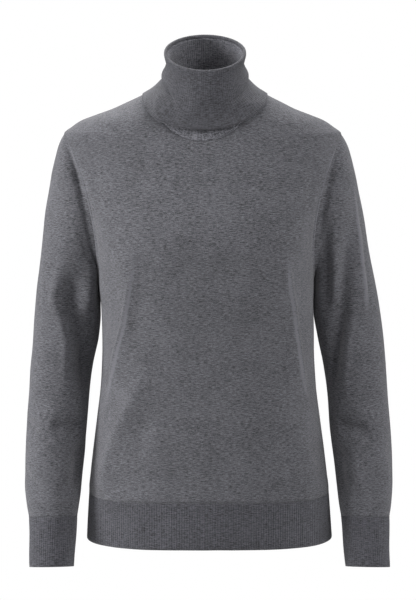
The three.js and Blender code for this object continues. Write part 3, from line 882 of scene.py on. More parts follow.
    def point(self, face: Face, u: Grid, z: Grid) -> Grid:
        """Points of the body.

        Args:
            face: The panel.
            u: From -1 at the wearer's right edge of the panel to 1 at its left edge.
            z: The heights.

        Returns:
            The points, in millimetres.
        """
        u, z = np.broadcast_arrays(np.asarray(u, float), np.asarray(z, float))
        label = face.name.lower()
        depth, power = self.sections.read(label, z), self.sections.read(label + "Power", z)
        half = self.sections.read("half", z)
        hole_x, hole_y = self.armhole_edge(face, z)
        share = np.clip(hole_y / depth, 1e-4, 0.999)
        in_hole = (z < -self.shoulder_drop) & (z > -self.underarm_drop)
        edge = np.where(in_hole, np.arctan((share**-power - 1) ** (1 / power)), math.pi / 2)
        full = (np.sin(edge) ** power + np.abs(np.cos(edge)) ** power) ** (-1 / power)
        half = np.where(in_hole, hole_x / (full * np.sin(edge)), half)
        turn = u * (math.pi / 2 + (edge - math.pi / 2) * np.abs(u) ** 1.5)
        sine, cosine = np.sin(turn), np.cos(turn)
        scale = (np.abs(sine) ** power + np.abs(cosine) ** power) ** (-1 / power)
        x, y = half * scale * sine, depth * scale * cosine
        lift = all_lifts(self.folds[face], x, z) + self.edge_lift(u, z, half)
        lift += unevenness(x, z, 3 + face.value) * np.clip(6 * (1 - np.abs(u)), 0, 1)
        out_x, out_y = sine / half, cosine / depth
        size = np.hypot(out_x, out_y)
        return np.stack([x + out_x / size * lift, face.value * (y + out_y / size * lift), z], axis=-1)

    def edge_distance(self, s: Grid, z: Grid) -> Grid:
        """About how far each column lies from the panel's edge, in millimetres."""
        return (1 - np.abs(s)) * self.sections.read("half", z) * self.edge_share

    def beside_hole(self, z: Grid) -> Grid:
        """1 at heights that lie beside the armhole, fading to 0 at both its ends."""
        return smooth_step((-self.shoulder_drop - 6 - z) / 30) * smooth_step((z + self.underarm_drop + 60) / 90)

    def edge_lift(self, u: Grid, z: Grid, half: Grid) -> Grid:
        """The panel's edge rolls up a little along the armhole, and fills out above the hem band.

        Args:
            u: From -1 to 1 across the panel.
            z: The heights.
            half: Half the section's width at each height.

        Returns:
            The lifts, in millimetres.
        """
        from_edge = (1 - np.abs(u)) * half * self.edge_share
        hump = np.exp(-(((from_edge - self.roll_width) / self.roll_width) ** 2))
        roll = self.roll_height * hump * self.beside_hole(z)
        filling = 0.5 * np.exp(-(((z - self.rib_top - 9) / 9) ** 2)) * smooth_step((z - self.rib_top + 2) / 8)
        return roll + filling

    def neckline(self, face: Face, s: Grid) -> tuple[Grid, Grid]:
        """Where the neckline runs.

        Args:
            face: The panel.
            s: The columns, from -1 to 1.

        Returns:
            The neckline's height at each column, and how far across the section it lies.
        """
        angle = np.sign(s) * (1 - (1 - np.abs(s)) ** self.column_crowd) * math.pi / 2
        z = -self.neck_drop[face] * np.cos(angle)
        power = self.sections.read(face.name.lower() + "Power", z)
        share = np.clip(np.abs(self.neck_half * np.sin(angle) / self.sections.read("half", z)), 1e-6, 1)
        turn = np.arctan2(1.0, (share**-power - 1) ** (1 / power))
        return z, np.sign(s) * turn / (math.pi / 2)

    def panel_point(self, face: Face, s: Grid, row: Grid) -> Grid:
        """Points of a panel whose columns are fanned in to the neckline.

        Args:
            face: The panel.
            s: The columns, from -1 to 1.
            row: The heights of the rows at the panel's sides.

        Returns:
            The points, in millimetres.
        """
        neck_z, neck_u = self.neckline(face, s)
        fan = smooth_step((row + 250) / 250)
        lift = self.hem_lift * np.cos(s * math.pi / 2) ** 4 if face is Face.FRONT else 0.0
        low = smooth_step((self.rib_top + 120 - row) / 120)
        return self.point(face, s + (neck_u - s) * fan, row + neck_z * fan**2 + lift * low)

    def panel(self, face: Face, columns: int, rows: int) -> KnitShell:
        """The front or back, with a map that follows the courses of the knit.

        Args:
            face: The panel.
            columns: How many columns of points it has.
            rows: How many rows.

        Returns:
            The shell.
        """
        s = np.linspace(-1, 1, columns)[None, :]
        lower = np.linspace(self.rib_top, -self.underarm_drop, int(rows * 0.46), endpoint=False)
        hole = np.cos(np.linspace(math.pi, 0, int(rows * 0.36), endpoint=False))
        hole = (hole * (self.underarm_drop - self.shoulder_drop) - self.underarm_drop - self.shoulder_drop) / 2
        upper = np.linspace(-self.shoulder_drop, 0, rows - len(lower) - len(hole))
        row = np.concatenate([lower, hole, upper])[:, None]
        points = with_lean(self.panel_point(face, s, row))
        across = path_lengths(points, 1)
        across = across - across[:, columns // 2][:, None]
        over = np.clip(self.sections.read(face.name.lower(), points[..., 2]) - np.abs(points[..., 1]), 0, None)
        # Over the shoulders the cloth runs back as well as up, and its courses with it.
        upward = points[..., 2] + 0.65 * over * smooth_step((points[..., 2] + 110) / 60)
        axis = np.stack([0 * row[:, 0], 0 * row[:, 0], row[:, 0]], axis=1)
        flat_x = points[..., 0] - LEAN.read("x", points[..., 2])
        # Painted highlight: a lighter strip along the panel's edge beside the armhole, added to the painted highlight
        # on the sharp fold tops.
        near = np.exp(-((self.edge_distance(s, points[..., 2]) / self.roll_width) ** 2))
        painted_rim_highlight = 0.9 * near * self.beside_hole(points[..., 2])
        painted_crest_light = np.clip(painted_crest_highlight(self.folds[face], flat_x, points[..., 2]) + painted_rim_highlight, 0, 1)
        name = f"{face.name.lower()}_panel"
        uv = np.stack([across, upward], axis=2) * MM
        return KnitShell(name, points, False, axis, uv=uv, painted_crest_light=painted_crest_light, thickness=1.3)

    def hem_band(self, face: Face, ribs: int, steps: int, rows: int) -> KnitShell:
        """The front or back half of the hem band, drawn in a little under the panel.

        Args:
            face: Which half.
            ribs: How many ribs it has.
            steps: Columns of points to a rib.
            rows: How many rows of points it has.

        Returns:
            The shell.
        """
        v = np.linspace(0, 1, rows)[:, None]
        s = np.linspace(-1, 1, 400)[None, :]
        lift = self.hem_lift * np.cos(s * math.pi / 2) ** 4 if face is Face.FRONT else 0.0
        z = -self.hem_drop + self.rib_height * v + lift
        points = self.point(face, s, z)
        # The band sways in and out by about a millimetre, in its middle and at its loose edge.
        sway = 0.9 * np.sin(7.3 * s + 1.1) * np.sin(math.pi * v)
        sway = sway + 1.1 * np.sin(3.1 * s + 4.0 * face.value) * (1 - v)
        points[..., 1] += face.value * sway * np.cos(s * math.pi / 2)
        points = even_columns(with_lean(points), ribs * steps + 1, False)
        axis = np.stack([0 * v[:, 0], 0 * v[:, 0], -self.hem_drop + self.rib_height * v[:, 0]], axis=1)
        wale = np.linspace(0, 1, ribs * steps + 1)[None, :]
        height = 0.35 + 0.65 * smooth_step((1 - v) / 0.08) * smooth_step(v / 0.05 + 0.3)
        name = f"hem_{face.name.lower()}_ribbing"
        return KnitShell(name, points, False, axis, wale=wale, rib_height=height, thickness=1.5)


@dataclass
class Arm:
    """One sleeve and its cuff, as rings between an outer and an inner line."""

    side: Side
    body: Body
    map_radius: float = 44.0
    # The radius at which the sleeve's painted highlight is laid along its fold tops.
    crest_radius: float = 40.0
    sections: SmoothTable = field(default_factory=lambda: SmoothTable("outX outZ inX inZ midY depth tip", [
        (191.5, -62, 150, -262, 0, 48, 0),
        (195, -67, 150.8, -264, 0.3, 48, 0),
        (201, -79, 150.7, -268, 1, 48, 0),
        (206.5, -98, 150.4, -274, 2, 48, 0),
        (214, -130, 149.9, -283, 3, 47, 0),
        (222, -176, 149.2, -296, 4, 46, 0),
        (230, -232, 148.9, -314, 5, 45, 0),
        (241, -300, 153.5, -346, 6, 44, 0),
        (248.5, -372, 162, -388, 5, 43, 2),
        (253, -432, 168.5, -437, 0, 42, 6),
        (256.5, -490, 172.5, -490, -11, 41, 10),
        (258, -545, 178, -543, -23, 38, 12),
        (256, -575, 181.5, -574, -30, 35, 13),
        (252.5, -596, 185, -595, -35, 33, 13),
    ], numbered=True))
    cuff_sections: SmoothTable = field(default_factory=lambda: SmoothTable("outX outZ inX inZ midY depth tip", [
        (252.5, -596, 185, -595, -35, 33, 13),
        (252, -630, 187.5, -629, -43, 32, 13),
        (252, -664, 190, -663, -51, 31, 13),
    ], numbered=True))
    # Along a sleeve's folds the first number is the angle from its outer line, with 90 at the front.
    folds: Mapping[Side, Sequence[Fold]] = field(default_factory=lambda: {
        Side.RIGHT: (
            Fold(((92, -222), (97, -262), (102, -296), (116, -326), (132, -354), (146, -400), (144, -440)), 16, -12),
            Fold(((142, -215), (138, -250), (128, -288), (124, -320)), 10, 6),
            Fold(((152, -472), (120, -467), (94, -462), (80, -460)), 10, -7),
            Fold(((142, -476), (148, -520), (146, -566)), 16, -6),
            Fold(((12, -462), (60, -472)), 12, -4),
            Fold(((10, -532), (75, -556)), 10, -4),
            # The crest beside the long inner hollow, and the small folds round it.
            Fold(((72, -226), (66, -262), (64, -292), (82, -320), (94, -346), (98, -380), (106, -426)), 5.5, 3.2),
            Fold(((10, -452), (40, -456), (74, -454)), 4.5, 1.5),
            Fold(((98, -486), (72, -500), (46, -504)), 8, 1.8),
            Fold(((30, -500), (64, -516), (98, -520)), 7, 1.6),
            Fold(((20, -424), (48, -436), (80, -440)), 8, -1.5),
            Fold(((60, -562), (96, -572), (130, -568)), 7, 1.8),
            Fold(((26, -110), (44, -160), (56, -215)), 15, -2.2),
            Fold(((200, -300), (222, -352), (240, -400)), 12, -4),
            Fold(((250, -190), (258, -260), (264, -330)), 14, -5),
            Fold(((180, -470), (216, -480), (252, -488)), 10, -4),
            Fold(((228, -540), (262, -550), (300, -558)), 9, 2.6),
            Fold(((300, -440), (276, -470), (258, -520)), 10, 2),
        ),
        Side.LEFT: (
            Fold(((110, -160), (118, -200), (122, -247), (128, -290), (136, -330)), 9, -7),
            Fold(
                ((50, -160), (66, -205), (80, -247), (95, -290), (110, -325), (126, -356), (140, -398), (142, -436)),
                11, -11,
            ),
            Fold(((150, -462), (108, -468), (66, -476)), 10, -7),
            Fold(((140, -482), (147, -530), (147, -580)), 16, -6),
            Fold(((94, -206), (103, -247), (114, -292)), 5, 2),
            Fold(((72, -280), (88, -318), (99, -346), (114, -398), (118, -436)), 5.5, 2.6),
            Fold(((28, -120), (40, -196), (46, -234), (50, -276), (62, -322)), 3, 2.6),
            Fold(((112, -440), (86, -450), (60, -456)), 8, 1.8),
            Fold(((110, -498), (104, -530), (108, -560)), 7, 2.0),
            Fold(((30, -505), (64, -514), (96, -518)), 9, 1.6),
            Fold(((24, -120), (36, -160), (50, -206)), 15, -1.8),
            Fold(((205, -310), (222, -360), (238, -410)), 12, -4),
            Fold(((254, -186), (260, -260), (266, -330)), 14, -5),
            Fold(((186, -474), (220, -484), (252, -492)), 10, -4),
            Fold(((234, -544), (266, -552), (298, -560)), 9, 2.6),
            Fold(((304, -430), (280, -462), (262, -510)), 10, 2),
        ),
    })
    # Hollows beside the armhole: the angle of each one's middle, half its spread, and its depth.
    hollows: Mapping[Side, Sequence[tuple[float, float, float]]] = field(default_factory=lambda: {
        Side.RIGHT: ((66, 30, 5.0), (140, 26, 2.5), (262, 40, 3.5)),
        Side.LEFT: ((74, 34, 4.0), (146, 24, 2.5), (268, 40, 3.5)),
    })

    def lifts(self, angle: Grid, z: Grid, radius: Grid, read: Reader | None = None) -> Grid:
        """How far the folds lift the sleeve, or what else is read from each fold.

        Args:
            angle: From the outer line, with a quarter turn at the front, in radians.
            z: The heights.
            radius: The arm's radius there, in millimetres.
            read: What to read from a fold in place of its lift.

        Returns:
            The sum over the folds.
        """
        size = np.radians(1.0) * radius
        total = np.zeros(np.broadcast(angle, z).shape)
        for fold in self.folds[self.side]:
            middle = sum(a for a, _ in fold.path) / len(fold.path)
            turned = (np.degrees(angle) - middle + 180) % 360 - 180
            moved = Fold([(a - middle, b) for a, b in fold.path], fold.width, fold.depth)
            if read is None:
                total += moved.lift(turned * size, z, size)
            else:
                on_cloth = Fold([(a * float(np.mean(size)), b) for a, b in moved.path], fold.width, fold.depth)
                total += read([on_cloth], turned * size, z)
        return total

    def point(self, table: SmoothTable, angle: Grid, t: Grid) -> Grid:
        """Points on the sleeve or the cuff.

        Args:
            table: The sections.
            angle: From the outer line, with a quarter turn at the front, in radians.
            t: From 0 at the top to 1 at the bottom.

        Returns:
            The points, in millimetres.
        """
        angle, t = np.broadcast_arrays(angle, t)
        row = {name: table.read(name, t) for name in table.columns if name != "at"}
        cosine, sine = np.cos(angle), np.sin(angle)
        front, tip = row["depth"] * sine, np.radians(row["tip"])
        reach = (row["outX"] - row["inX"]) / 2
        x = (row["outX"] + row["inX"]) / 2 + reach * cosine
        y = row["midY"] - front * np.cos(tip)
        z = (row["outZ"] + row["inZ"]) / 2 + (row["outZ"] - row["inZ"]) / 2 * cosine + front * np.sin(tip)
        if table is self.sections:
            bow = np.where(sine > 0, self.body.armhole_bow[Face.FRONT], self.body.armhole_bow[Face.BACK])
            x = x - bow * (sine * np.clip(1 - 5 * t, 0, None)) ** 2
            away = smooth_step(t / 0.14) * smooth_step((1 - t) / 0.12)
            swells = unevenness(45 * np.sin(angle), z + 20 * cosine, 7 + self.side.value)
            lift = (self.lifts(angle, z, reach) + swells) * away
            for middle, spread, depth in self.hollows[self.side]:
                turned = (np.degrees(angle) - middle + 180) % 360 - 180
                beside = np.exp(-(((t - 0.05) / 0.034) ** 2)) * smooth_step(t / 0.02)
                lift = lift - depth * np.exp(-((turned / spread) ** 2)) * beside
            x, y = x + lift * cosine, y - lift * sine
        return np.stack([self.side.value * x, y, z], axis=-1)

    def ring_centres(self, points: Grid) -> Grid:
        """The middle of each ring."""
        return points.mean(axis=1)

    def middle_line(self, axis: str) -> tuple[Grid, Grid]:
        """Where the arm's middle runs.

        Args:
            axis: "x" for how far out it lies, or "y" for how far back.

        Returns:
            Heights, from the lowest up, and the middle's place at each.
        """
        at = np.linspace(1, 0, 40)
        height = (self.sections.read("outZ", at) + self.sections.read("inZ", at)) / 2
        if axis == "y":
            return height, self.sections.read("midY", at)
        outward = (self.sections.read("outX", at) + self.sections.read("inX", at)) / 2
        return height, outward + LEAN.read("x", height) * self.side.value

    def sleeve(self, columns: int, rows: int) -> KnitShell:
        """The sleeve, with a map that runs round it and down it.

        Args:
            columns: How many columns of points it has.
            rows: How many rows, half of them in the upper 30 percent.

        Returns:
            The shell.
        """
        angle = np.linspace(0, 2 * math.pi, columns, endpoint=False)[None, :]
        head, rest = np.linspace(0, 0.3, rows // 2, endpoint=False), np.linspace(0.3, 1, rows - rows // 2)
        t = np.concatenate([head, rest])[:, None]
        points = with_lean(self.point(self.sections, angle, t))
        whole = np.concatenate([points, points[:, :1]], axis=1)
        # The courses of the knit run level round the arm, right up into the sleeve's head.
        middle_x = np.interp(whole[..., 2], *self.middle_line("x"))
        middle_y = np.interp(whole[..., 2], *self.middle_line("y"))
        turn = np.unwrap(np.arctan2(middle_y - whole[..., 1], self.side.value * whole[..., 0] - middle_x), axis=1)
        uv = np.stack([self.map_radius * turn, whole[..., 2]], axis=2) * MM
        name = f"sleeve_{self.side.name.lower()}_cloth"
        # Painted highlight along the sharp tops of the sleeve's folds.
        painted_crest_light = self.lifts(angle, points[..., 2], self.crest_radius, painted_crest_highlight)
        return KnitShell(name, points, True, self.ring_centres(points), uv=uv, painted_crest_light=painted_crest_light, thickness=1.3)

    def cuff(self, ribs: int, steps: int, rows: int) -> KnitShell:
        """The cuff, evenly ribbed all round.

        Args:
            ribs: How many ribs it has.
            steps: Columns of points to a rib.
            rows: How many rows of points it has.

        Returns:
            The shell.
        """
        angle = np.linspace(0, 2 * math.pi, 360, endpoint=False)[None, :]
        v = np.linspace(0, 1, rows)[:, None]
        points = self.point(self.cuff_sections, angle, v)
        wave = 0.7 * np.sin(3 * angle + 2.0 * self.side.value + 3.0 * v) * np.sin(math.pi * v)
        points[..., 0] += self.side.value * wave * np.cos(angle)
        points[..., 1] -= wave * np.sin(angle)
        points = even_columns(with_lean(points), ribs * steps, True)
        wale = np.linspace(0, 1, ribs * steps, endpoint=False)[None, :]
        height = 0.35 + 0.65 * smooth_step(v / 0.06) * smooth_step((1 - v) / 0.05 + 0.3)
        name = f"cuff_{self.side.name.lower()}_ribbing"
        return KnitShell(name, points, True, self.ring_centres(points), wale=wale, rib_height=height, thickness=1.5)


@dataclass
class Collar:
    """The turned-down collar: a layer that stands on the neckline and one that folds over it."""

    body: Body
    columns: str = "side sideY sideZ frontY frontZ backY backZ plan"
    degree_mm: float = 1.2
    over_the_fold: float = 0.36
    edge_courses: Sequence[float] = (2.0, 5.0, 8.0)
    stand: SmoothTable = field(init=False)
    fall: SmoothTable = field(init=False)
    # Along the collar in degrees from the wearer's left, round by the back, and down it in mm.
    folds: Sequence[Fold] = (
        Fold(((192, 56), (214, 78), (238, 100)), 6, 2.8),
        Fold(((204, 44), (228, 64), (250, 84)), 7, -2.6),
        Fold(((210, 92), (228, 106), (246, 116)), 5, -2.2),
        Fold(((244, 24), (256, 46), (266, 66)), 9, 1.8),
        Fold(((282, 40), (290, 60), (300, 82)), 9, -1.8),
        Fold(((314, 52), (330, 72), (348, 88)), 7, 2.2),
        Fold(((298, 70), (318, 92), (338, 108)), 8, -1.7),
        Fold(((16, 56), (40, 78), (66, 92)), 8, 2.4),
        Fold(((110, 56), (136, 76), (162, 88)), 8, 2.4),
        Fold(((58, 38), (90, 48), (122, 44)), 9, -1.9),
    )

    def __post_init__(self) -> None:
        """Sets the two layers' loops, from the neckline to the fold and from the fold down."""
        self.stand = SmoothTable(self.columns, [
            (70, 0, 0, -75, -63, 64, -5, 0.4),
            (61.5, -3, 8, -73.5, -46, 58, 10, 0.55),
            (56, -8, 16, -72.5, -28, 50, 27, 0.85),
            (52.5, -14, 27, -71.5, -9, 40, 46, 1),
            (50.4, -19, 37, -70, 8, 32, 60, 1),
            (53.2, -21.6, 48, -68, 23.9, 24.8, 69.6, 1),
        ], numbered=True)
        self.fall = SmoothTable(self.columns, [
            (51.6, -21.6, 48.8, -66.4, 25.5, 23.2, 69.6, 1),
            (52, -21.6, 51.2, -66.8, 27.7, 23.6, 72, 1),
            (54.2, -21.6, 52.6, -69, 28, 25.8, 74.4, 1),
            (56, -21.6, 51.2, -71.2, 25.4, 28, 74, 1),
            (56.2, -21.4, 48.5, -71.8, 22.4, 28.8, 71.8, 1),
            (53.4, -19, 36, -73.6, 8, 35, 61, 1),
            (55.8, -16, 27, -75, -2, 40.5, 52, 1),
            (60, -13, 19, -76.5, -12, 47, 42, 0.95),
            (59, -10, 14, -77.5, -20, 52.5, 33, 0.8),
            (64.8, -7, 8, -79.5, -30, 60, 21, 0.6),
            (73.5, -5, 1, -81.5, -41.5, 67, 9, 0.5),
            (86, -4, -6, -84.5, -52, 76, -5, 0.45),
        ], numbered=True)

    def loop(self, table: SmoothTable, angle: Grid, t: Grid) -> Grid:
        """Points of a layer.

        Args:
            table: The layer's loops.
            angle: From the wearer's left, round by the back, in radians.
            t: From 0 at the layer's first loop to 1 at its last.

        Returns:
            The points, in millimetres.
        """
        angle, t = np.broadcast_arrays(angle, t)
        row = {name: table.read(name, t) for name in table.columns if name != "at"}
        cosine, sine = np.cos(angle), np.sin(angle)
        back, reach = sine > 0, np.abs(sine)
        plan = np.where(back, (1 + row["plan"]) / 2, row["plan"])
        end_y, end_z = np.where(back, row["backY"], row["frontY"]), np.where(back, row["backZ"], row["frontZ"])
        y = row["sideY"] + (end_y - row["sideY"]) * reach**plan
        return np.stack([row["side"] * cosine, y, row["sideZ"] + (end_z - row["sideZ"]) * reach], axis=-1)

    def neckline(self, angle: Grid) -> Grid:
        """Where the panels' neckline runs.

        Args:
            angle: From the wearer's left, round by the back, in radians.

        Returns:
            The points, in millimetres.
        """
        turn = np.arcsin(np.clip(np.cos(angle), -1, 1))
        s = np.sign(turn) * (1 - (1 - np.abs(turn) / (math.pi / 2)) ** (1 / self.body.column_crowd))
        edges = []
        for face in (Face.FRONT, Face.BACK):
            z, u = self.body.neckline(face, s)
            edges.append(self.body.point(face, u, z))
        return np.where((np.sin(angle) > 0)[..., None], edges[1], edges[0])

    def stand_shell(self, ribs: int, steps: int, rows: int) -> KnitShell:
        """The inner layer, ribbed, from the neckline up to the fold.

        Args:
            ribs: How many ribs it has.
            steps: Columns of points to a rib.
            rows: How many rows of points it has.

        Returns:
            The shell.
        """
        angle = np.linspace(0, 2 * math.pi, 720, endpoint=False)[None, :] + math.pi / 2
        t = np.linspace(0, 1, rows)[:, None]
        start = self.neckline(angle) - self.loop(self.stand, angle, 0 * angle)
        points = self.loop(self.stand, angle, t) + start * ((1 - t) ** 3)[..., None]
        return self.ribbed("collar_standing_layer", with_lean(points), t, ribs, steps, 1.4)

    def fall_shell(self, ribs: int, steps: int, rows: int) -> KnitShell:
        """The outer layer, ribbed, over the fold and down to its loose edge.

        Args:
            ribs: How many ribs it has.
            steps: Columns of points to a rib.
            rows: How many rows of points it has, a quarter of them over the fold.

        Returns:
            The shell.
        """
        angle = np.linspace(0, 2 * math.pi, 720, endpoint=False)[None, :] + math.pi / 2
        over = self.over_the_fold
        knots = over * np.linspace(0, 1, rows // 4, endpoint=False), np.linspace(over, 1, rows - rows // 4)
        t = np.concatenate(knots)[:, None]
        points = self.loop(self.fall, angle, t)
        run = path_lengths(points, 0)
        degrees = np.degrees(angle) % 360
        lift = np.zeros(run.shape)
        for fold in self.folds:
            lift += fold.lift(degrees * self.degree_mm, run, self.degree_mm)
        from_edge = run[-1:] - run
        # Three courses of waste-yarn linking finish the loose edge as fine raised lines.
        for course in self.edge_courses:
            lift = lift + 0.45 * np.exp(-(((from_edge - course) / 0.9) ** 2))
        lift = lift * smooth_step(run / 12)
        centre = points.mean(axis=1, keepdims=True)
        out = points - centre
        out[..., 2] = 0
        out = out / np.linalg.norm(out, axis=2, keepdims=True)
        return self.ribbed("collar_turned_layer", with_lean(points + out * lift[..., None]), t, ribs, steps, 1.5)

    @staticmethod
    def ribbed(name: str, points: Grid, t: Grid, ribs: int, steps: int, thickness: float) -> KnitShell:
        """Spaces a layer's columns evenly and marks its ribs.

        Args:
            name: The piece's name.
            points: The grid of points.
            t: The rows, from 0 to 1.
            ribs: How many ribs the layer has.
            steps: Columns of points to a rib.
            thickness: The cloth's thickness, in millimetres.

        Returns:
            The shell.
        """
        points = even_columns(points, ribs * steps, True)
        wale = np.linspace(0, 1, ribs * steps, endpoint=False)[None, :]
        height = np.ones_like(t)
        return KnitShell(name, points, True, points.mean(axis=1), wale=wale, rib_height=height, thickness=thickness)


# ---------------------------------------------------------------------------------------------
# The sweater and its studio
# ---------------------------------------------------------------------------------------------


@dataclass
class Sweater:
    """All the pieces of cloth and the seams that join them.

    A rib and its furrow are drawn 3.2 to 3.6 mm wide, coarser than the real 2 mm or so, because finer
    ones would only shimmer at the size of the picture.
    """

    wardrobe: Wardrobe
    body: Body = field(default_factory=Body)
    rib_steps: int = 6
    hem_ribs: int = 128
    cuff_ribs: int = 66
    stand_ribs: int = 110
    fall_ribs: int = 120
    band_relief: float = 0.26

    def make_body(self) -> None:
        """Makes the panels and the hem band."""
        panel_cut, hem_cut = Cut(0.47, 0.62, 0.23), Cut(0.46, 0.067)
        for face in Face:
            label = face.name.lower()
            self.wardrobe.finish_jersey(self.body.panel(face, 221, 190), label, panel_cut)
            band = self.body.hem_band(face, self.hem_ribs, self.rib_steps, 15)
            self.wardrobe.finish_ribbing(band, f"hem_rib_{label}", hem_cut, self.hem_ribs, self.band_relief)

    def make_arms(self) -> None:
        """Makes both sleeves and cuffs."""
        sleeve_cut, cuff_cut = Cut(0.32, 0.5, 0.12), Cut(0.21, 0.069)
        for side in Side:
            arm = Arm(side, self.body)
            label = side.name.lower()
            self.wardrobe.finish_jersey(arm.sleeve(144, 190), f"sleeve_{label}", sleeve_cut)
            cuff = arm.cuff(self.cuff_ribs, self.rib_steps, 15)
            self.wardrobe.finish_ribbing(cuff, f"cuff_{label}", cuff_cut, self.cuff_ribs, self.band_relief)
            self.make_arm_seams(arm)

    def make_collar(self) -> None:
        """Makes the collar's two layers, and links it to the neckline."""
        collar = Collar(self.body)
        stand = collar.stand_shell(self.stand_ribs, self.rib_steps, 22)
        self.wardrobe.finish_ribbing(stand, "collar_stand", Cut(0.39, 0.075), self.stand_ribs, 0.16)
        fall = collar.fall_shell(self.fall_ribs, self.rib_steps, 44)
        self.wardrobe.finish_ribbing(fall, "collar_fall", Cut(0.41, 0.093), self.fall_ribs, 0.13)
        angle = np.linspace(0, 2 * math.pi, 240, endpoint=False)
        line = with_lean(collar.neckline(angle))
        self.wardrobe.finish_seam("neckline_seam", line, "ribbing", closed=True)

    def make_arm_seams(self, arm: Arm) -> None:
        """Links a sleeve into its armhole and onto its cuff.

        Args:
            arm: The arm whose seams are made.
        """
        angle = np.linspace(0, 2 * math.pi, 240, endpoint=False)
        label = arm.side.name.lower()
        for name, t in (("armhole_seam", 0.0), ("cuff_seam", 1.0)):
            line = with_lean(arm.point(arm.sections, angle, np.full_like(angle, t)))
            self.wardrobe.finish_seam(f"{name}_{label}", line, "jersey", closed=True)

    def make_body_seams(self) -> None:
        """Closes the sides and shoulders, and links the hem band to the panels."""
        side_z = np.linspace(-self.body.hem_drop + 1, -self.body.underarm_drop, 120)
        shoulder_z = np.linspace(-self.body.shoulder_drop, -4, 60)
        for side in Side:
            label = side.name.lower()
            for name, z in (("side_seam", side_z), ("shoulder_seam", shoulder_z)):
                line = with_lean(self.body.point(Face.FRONT, np.full_like(z, float(side.value)), z))
                self.wardrobe.finish_seam(f"{name}_{label}", line, "jersey")
        s = np.linspace(-1, 1, 200)
        front = self.body.panel_point(Face.FRONT, s, np.full_like(s, self.body.rib_top))
        back = self.body.panel_point(Face.BACK, -s, np.full_like(s, self.body.rib_top))
        line = with_lean(np.concatenate([front[:-1], back[:-1]]))
        self.wardrobe.finish_seam("hem_seam", line, "jersey", closed=True)

    def make(self) -> None:
        """Makes every piece."""
        self.make_body()
        self.make_arms()
        self.make_collar()
        self.make_body_seams()


@dataclass
class Softbox:
    """A large diffused studio lamp."""

    name: str
    place: tuple[float, float, float]
    width: float
    height: float
    watts: float
    target: tuple[float, float, float] = (0.0, 0.0, -0.3)

    def build(self) -> None:
        """Hangs the lamp and turns it to the garment."""
        lamp = bpy.data.lights.new(self.name, "AREA")
        lamp.shape, lamp.size, lamp.size_y, lamp.energy = "RECTANGLE", self.width, self.height, self.watts
        thing = bpy.data.objects.new(self.name, lamp)
        thing.location = self.place
        thing.rotation_euler = (Vector(self.target) - Vector(self.place)).to_track_quat("-Z", "Y").to_euler()
        bpy.context.scene.collection.objects.link(thing)


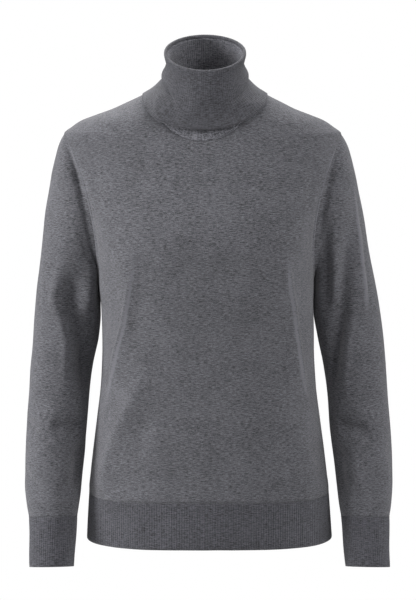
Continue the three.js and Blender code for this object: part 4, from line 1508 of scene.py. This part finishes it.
@dataclass
class Studio:
    """Pale floor, white air, soft light and the camera."""

    floor_z: float = -1.42
    floor_radius: float = 2.0
    camera_place: tuple[float, float, float] = (0.004, -3.0, 0.1)
    camera_target: tuple[float, float, float] = (0.004, 0.0, -0.2942)
    lens_mm: float = 129.7
    air_light: float = 0.08
    lamps: Sequence[Softbox] = (
        Softbox("key_side", (-2.3, -0.62, 0.2), 0.8, 1.4, 78.0),
        Softbox("key_front", (-1.75, -1.5, 0.9), 0.8, 1.2, 12.0),
        Softbox("fill_side", (2.3, -0.62, 0.2), 0.8, 1.4, 18.0),
        Softbox("fill_front", (1.75, -1.5, 0.9), 0.8, 1.2, 33.0),
        Softbox("front", (0.0, -2.0, 1.0), 1.4, 1.0, 6.0),
        Softbox("top", (0.1, -0.9, 1.8), 1.2, 0.8, 9.0),
        Softbox("top_back", (0.0, 0.7, 1.8), 1.6, 0.8, 40.0),
    )

    def build(self) -> None:
        """Lays the floor, hangs the lamps and places the camera."""
        self.build_floor()
        for lamp in self.lamps:
            lamp.build()
        world = bpy.context.scene.world or bpy.data.worlds.new("studio_air")
        bpy.context.scene.world = world
        world.use_nodes = True
        tree = world.node_tree
        tree.nodes.clear()
        # The air is plain white to look at, and lights the garment with a part of that.
        lit = add_node(tree, "ShaderNodeBackground", {"Color": linear("#ffffff"), "Strength": self.air_light})
        seen = add_node(tree, "ShaderNodeBackground", {"Color": linear("#ffffff"), "Strength": 1.0})
        path = add_node(tree, "ShaderNodeLightPath")
        mixed = {0: path.outputs["Is Camera Ray"], 1: lit.outputs[0], 2: seen.outputs[0]}
        both = add_node(tree, "ShaderNodeMixShader", mixed)
        add_node(tree, "ShaderNodeOutputWorld", {0: both.outputs[0]})
        self.build_camera()
        bpy.context.scene.view_settings.view_transform = "Standard"

    def build_floor(self) -> None:
        """Lays a pale round floor well below the garment, which casts no shadow into the view."""
        turn = np.linspace(0, 2 * math.pi, 96, endpoint=False)
        reach = self.floor_radius
        points = [(reach * math.cos(a), reach * math.sin(a), self.floor_z) for a in turn]
        mesh = bpy.data.meshes.new("studio_floor")
        mesh.from_pydata(points, [], [tuple(range(len(points)))])
        mesh.materials.append(PaintedPlaster().build())
        floor = bpy.data.objects.new("studio_floor", mesh)
        bpy.context.scene.collection.objects.link(floor)

    def build_camera(self) -> None:
        """Places the camera slightly above the shoulders, as the photograph's was."""
        lens = bpy.data.cameras.new("camera")
        lens.sensor_width, lens.lens = 36.0, self.lens_mm
        lens.clip_end = 50.0
        camera = bpy.data.objects.new("camera", lens)
        camera.location = self.camera_place
        look = Vector(self.camera_target) - Vector(self.camera_place)
        camera.rotation_euler = look.to_track_quat("-Z", "Y").to_euler()
        bpy.context.scene.collection.objects.link(camera)
        bpy.context.scene.camera = camera


def main() -> None:
    """Builds the sweater and its studio."""
    logging.basicConfig(level=logging.INFO, format="%(message)s")
    jersey = MelangeWool("merino_jersey_melange", "#28282b", "#6a6a70", 1.6, 1.2, 0.35, False)
    # The ribbing is drawn darker than the jersey: painted shade for the shadow in its furrows.
    ribbing = MelangeWool("merino_rib_melange", "#202023", "#595960", 3.0, 1.2, 0.3, True, groove_painted_shade=0.012)
    # The collar's standing layer shows its inside, drawn in lighter yarn: painted light for the light that reaches into
    # the collar, so that it looks as light as the outside of the turned layer. The turned layer is drawn darker than
    # the other ribbing: painted shade for its upright front, which takes less light.
    fold = MelangeWool("merino_rib_fold_painted_shade", "#1d1d20", "#4e4e54", 3.0, 1.2, 0.3, True, groove_painted_shade=0.01)
    painted_light_inside = MelangeWool("merino_rib_inside_painted_light", "#2f2f33", "#7e7e85", 3.0, 1.2, 0.3, True, groove_painted_shade=0.012)
    collar = {"collar_stand": painted_light_inside.build(), "collar_fall": fold.build()}
    wardrobe = Wardrobe(jersey.build(), ribbing.build(), collar, rib_tree(), seam_tree())
    Sweater(wardrobe).make()
    Studio().build()
    LOG.info("sizes written")


if __name__ == "__main__":
    main()
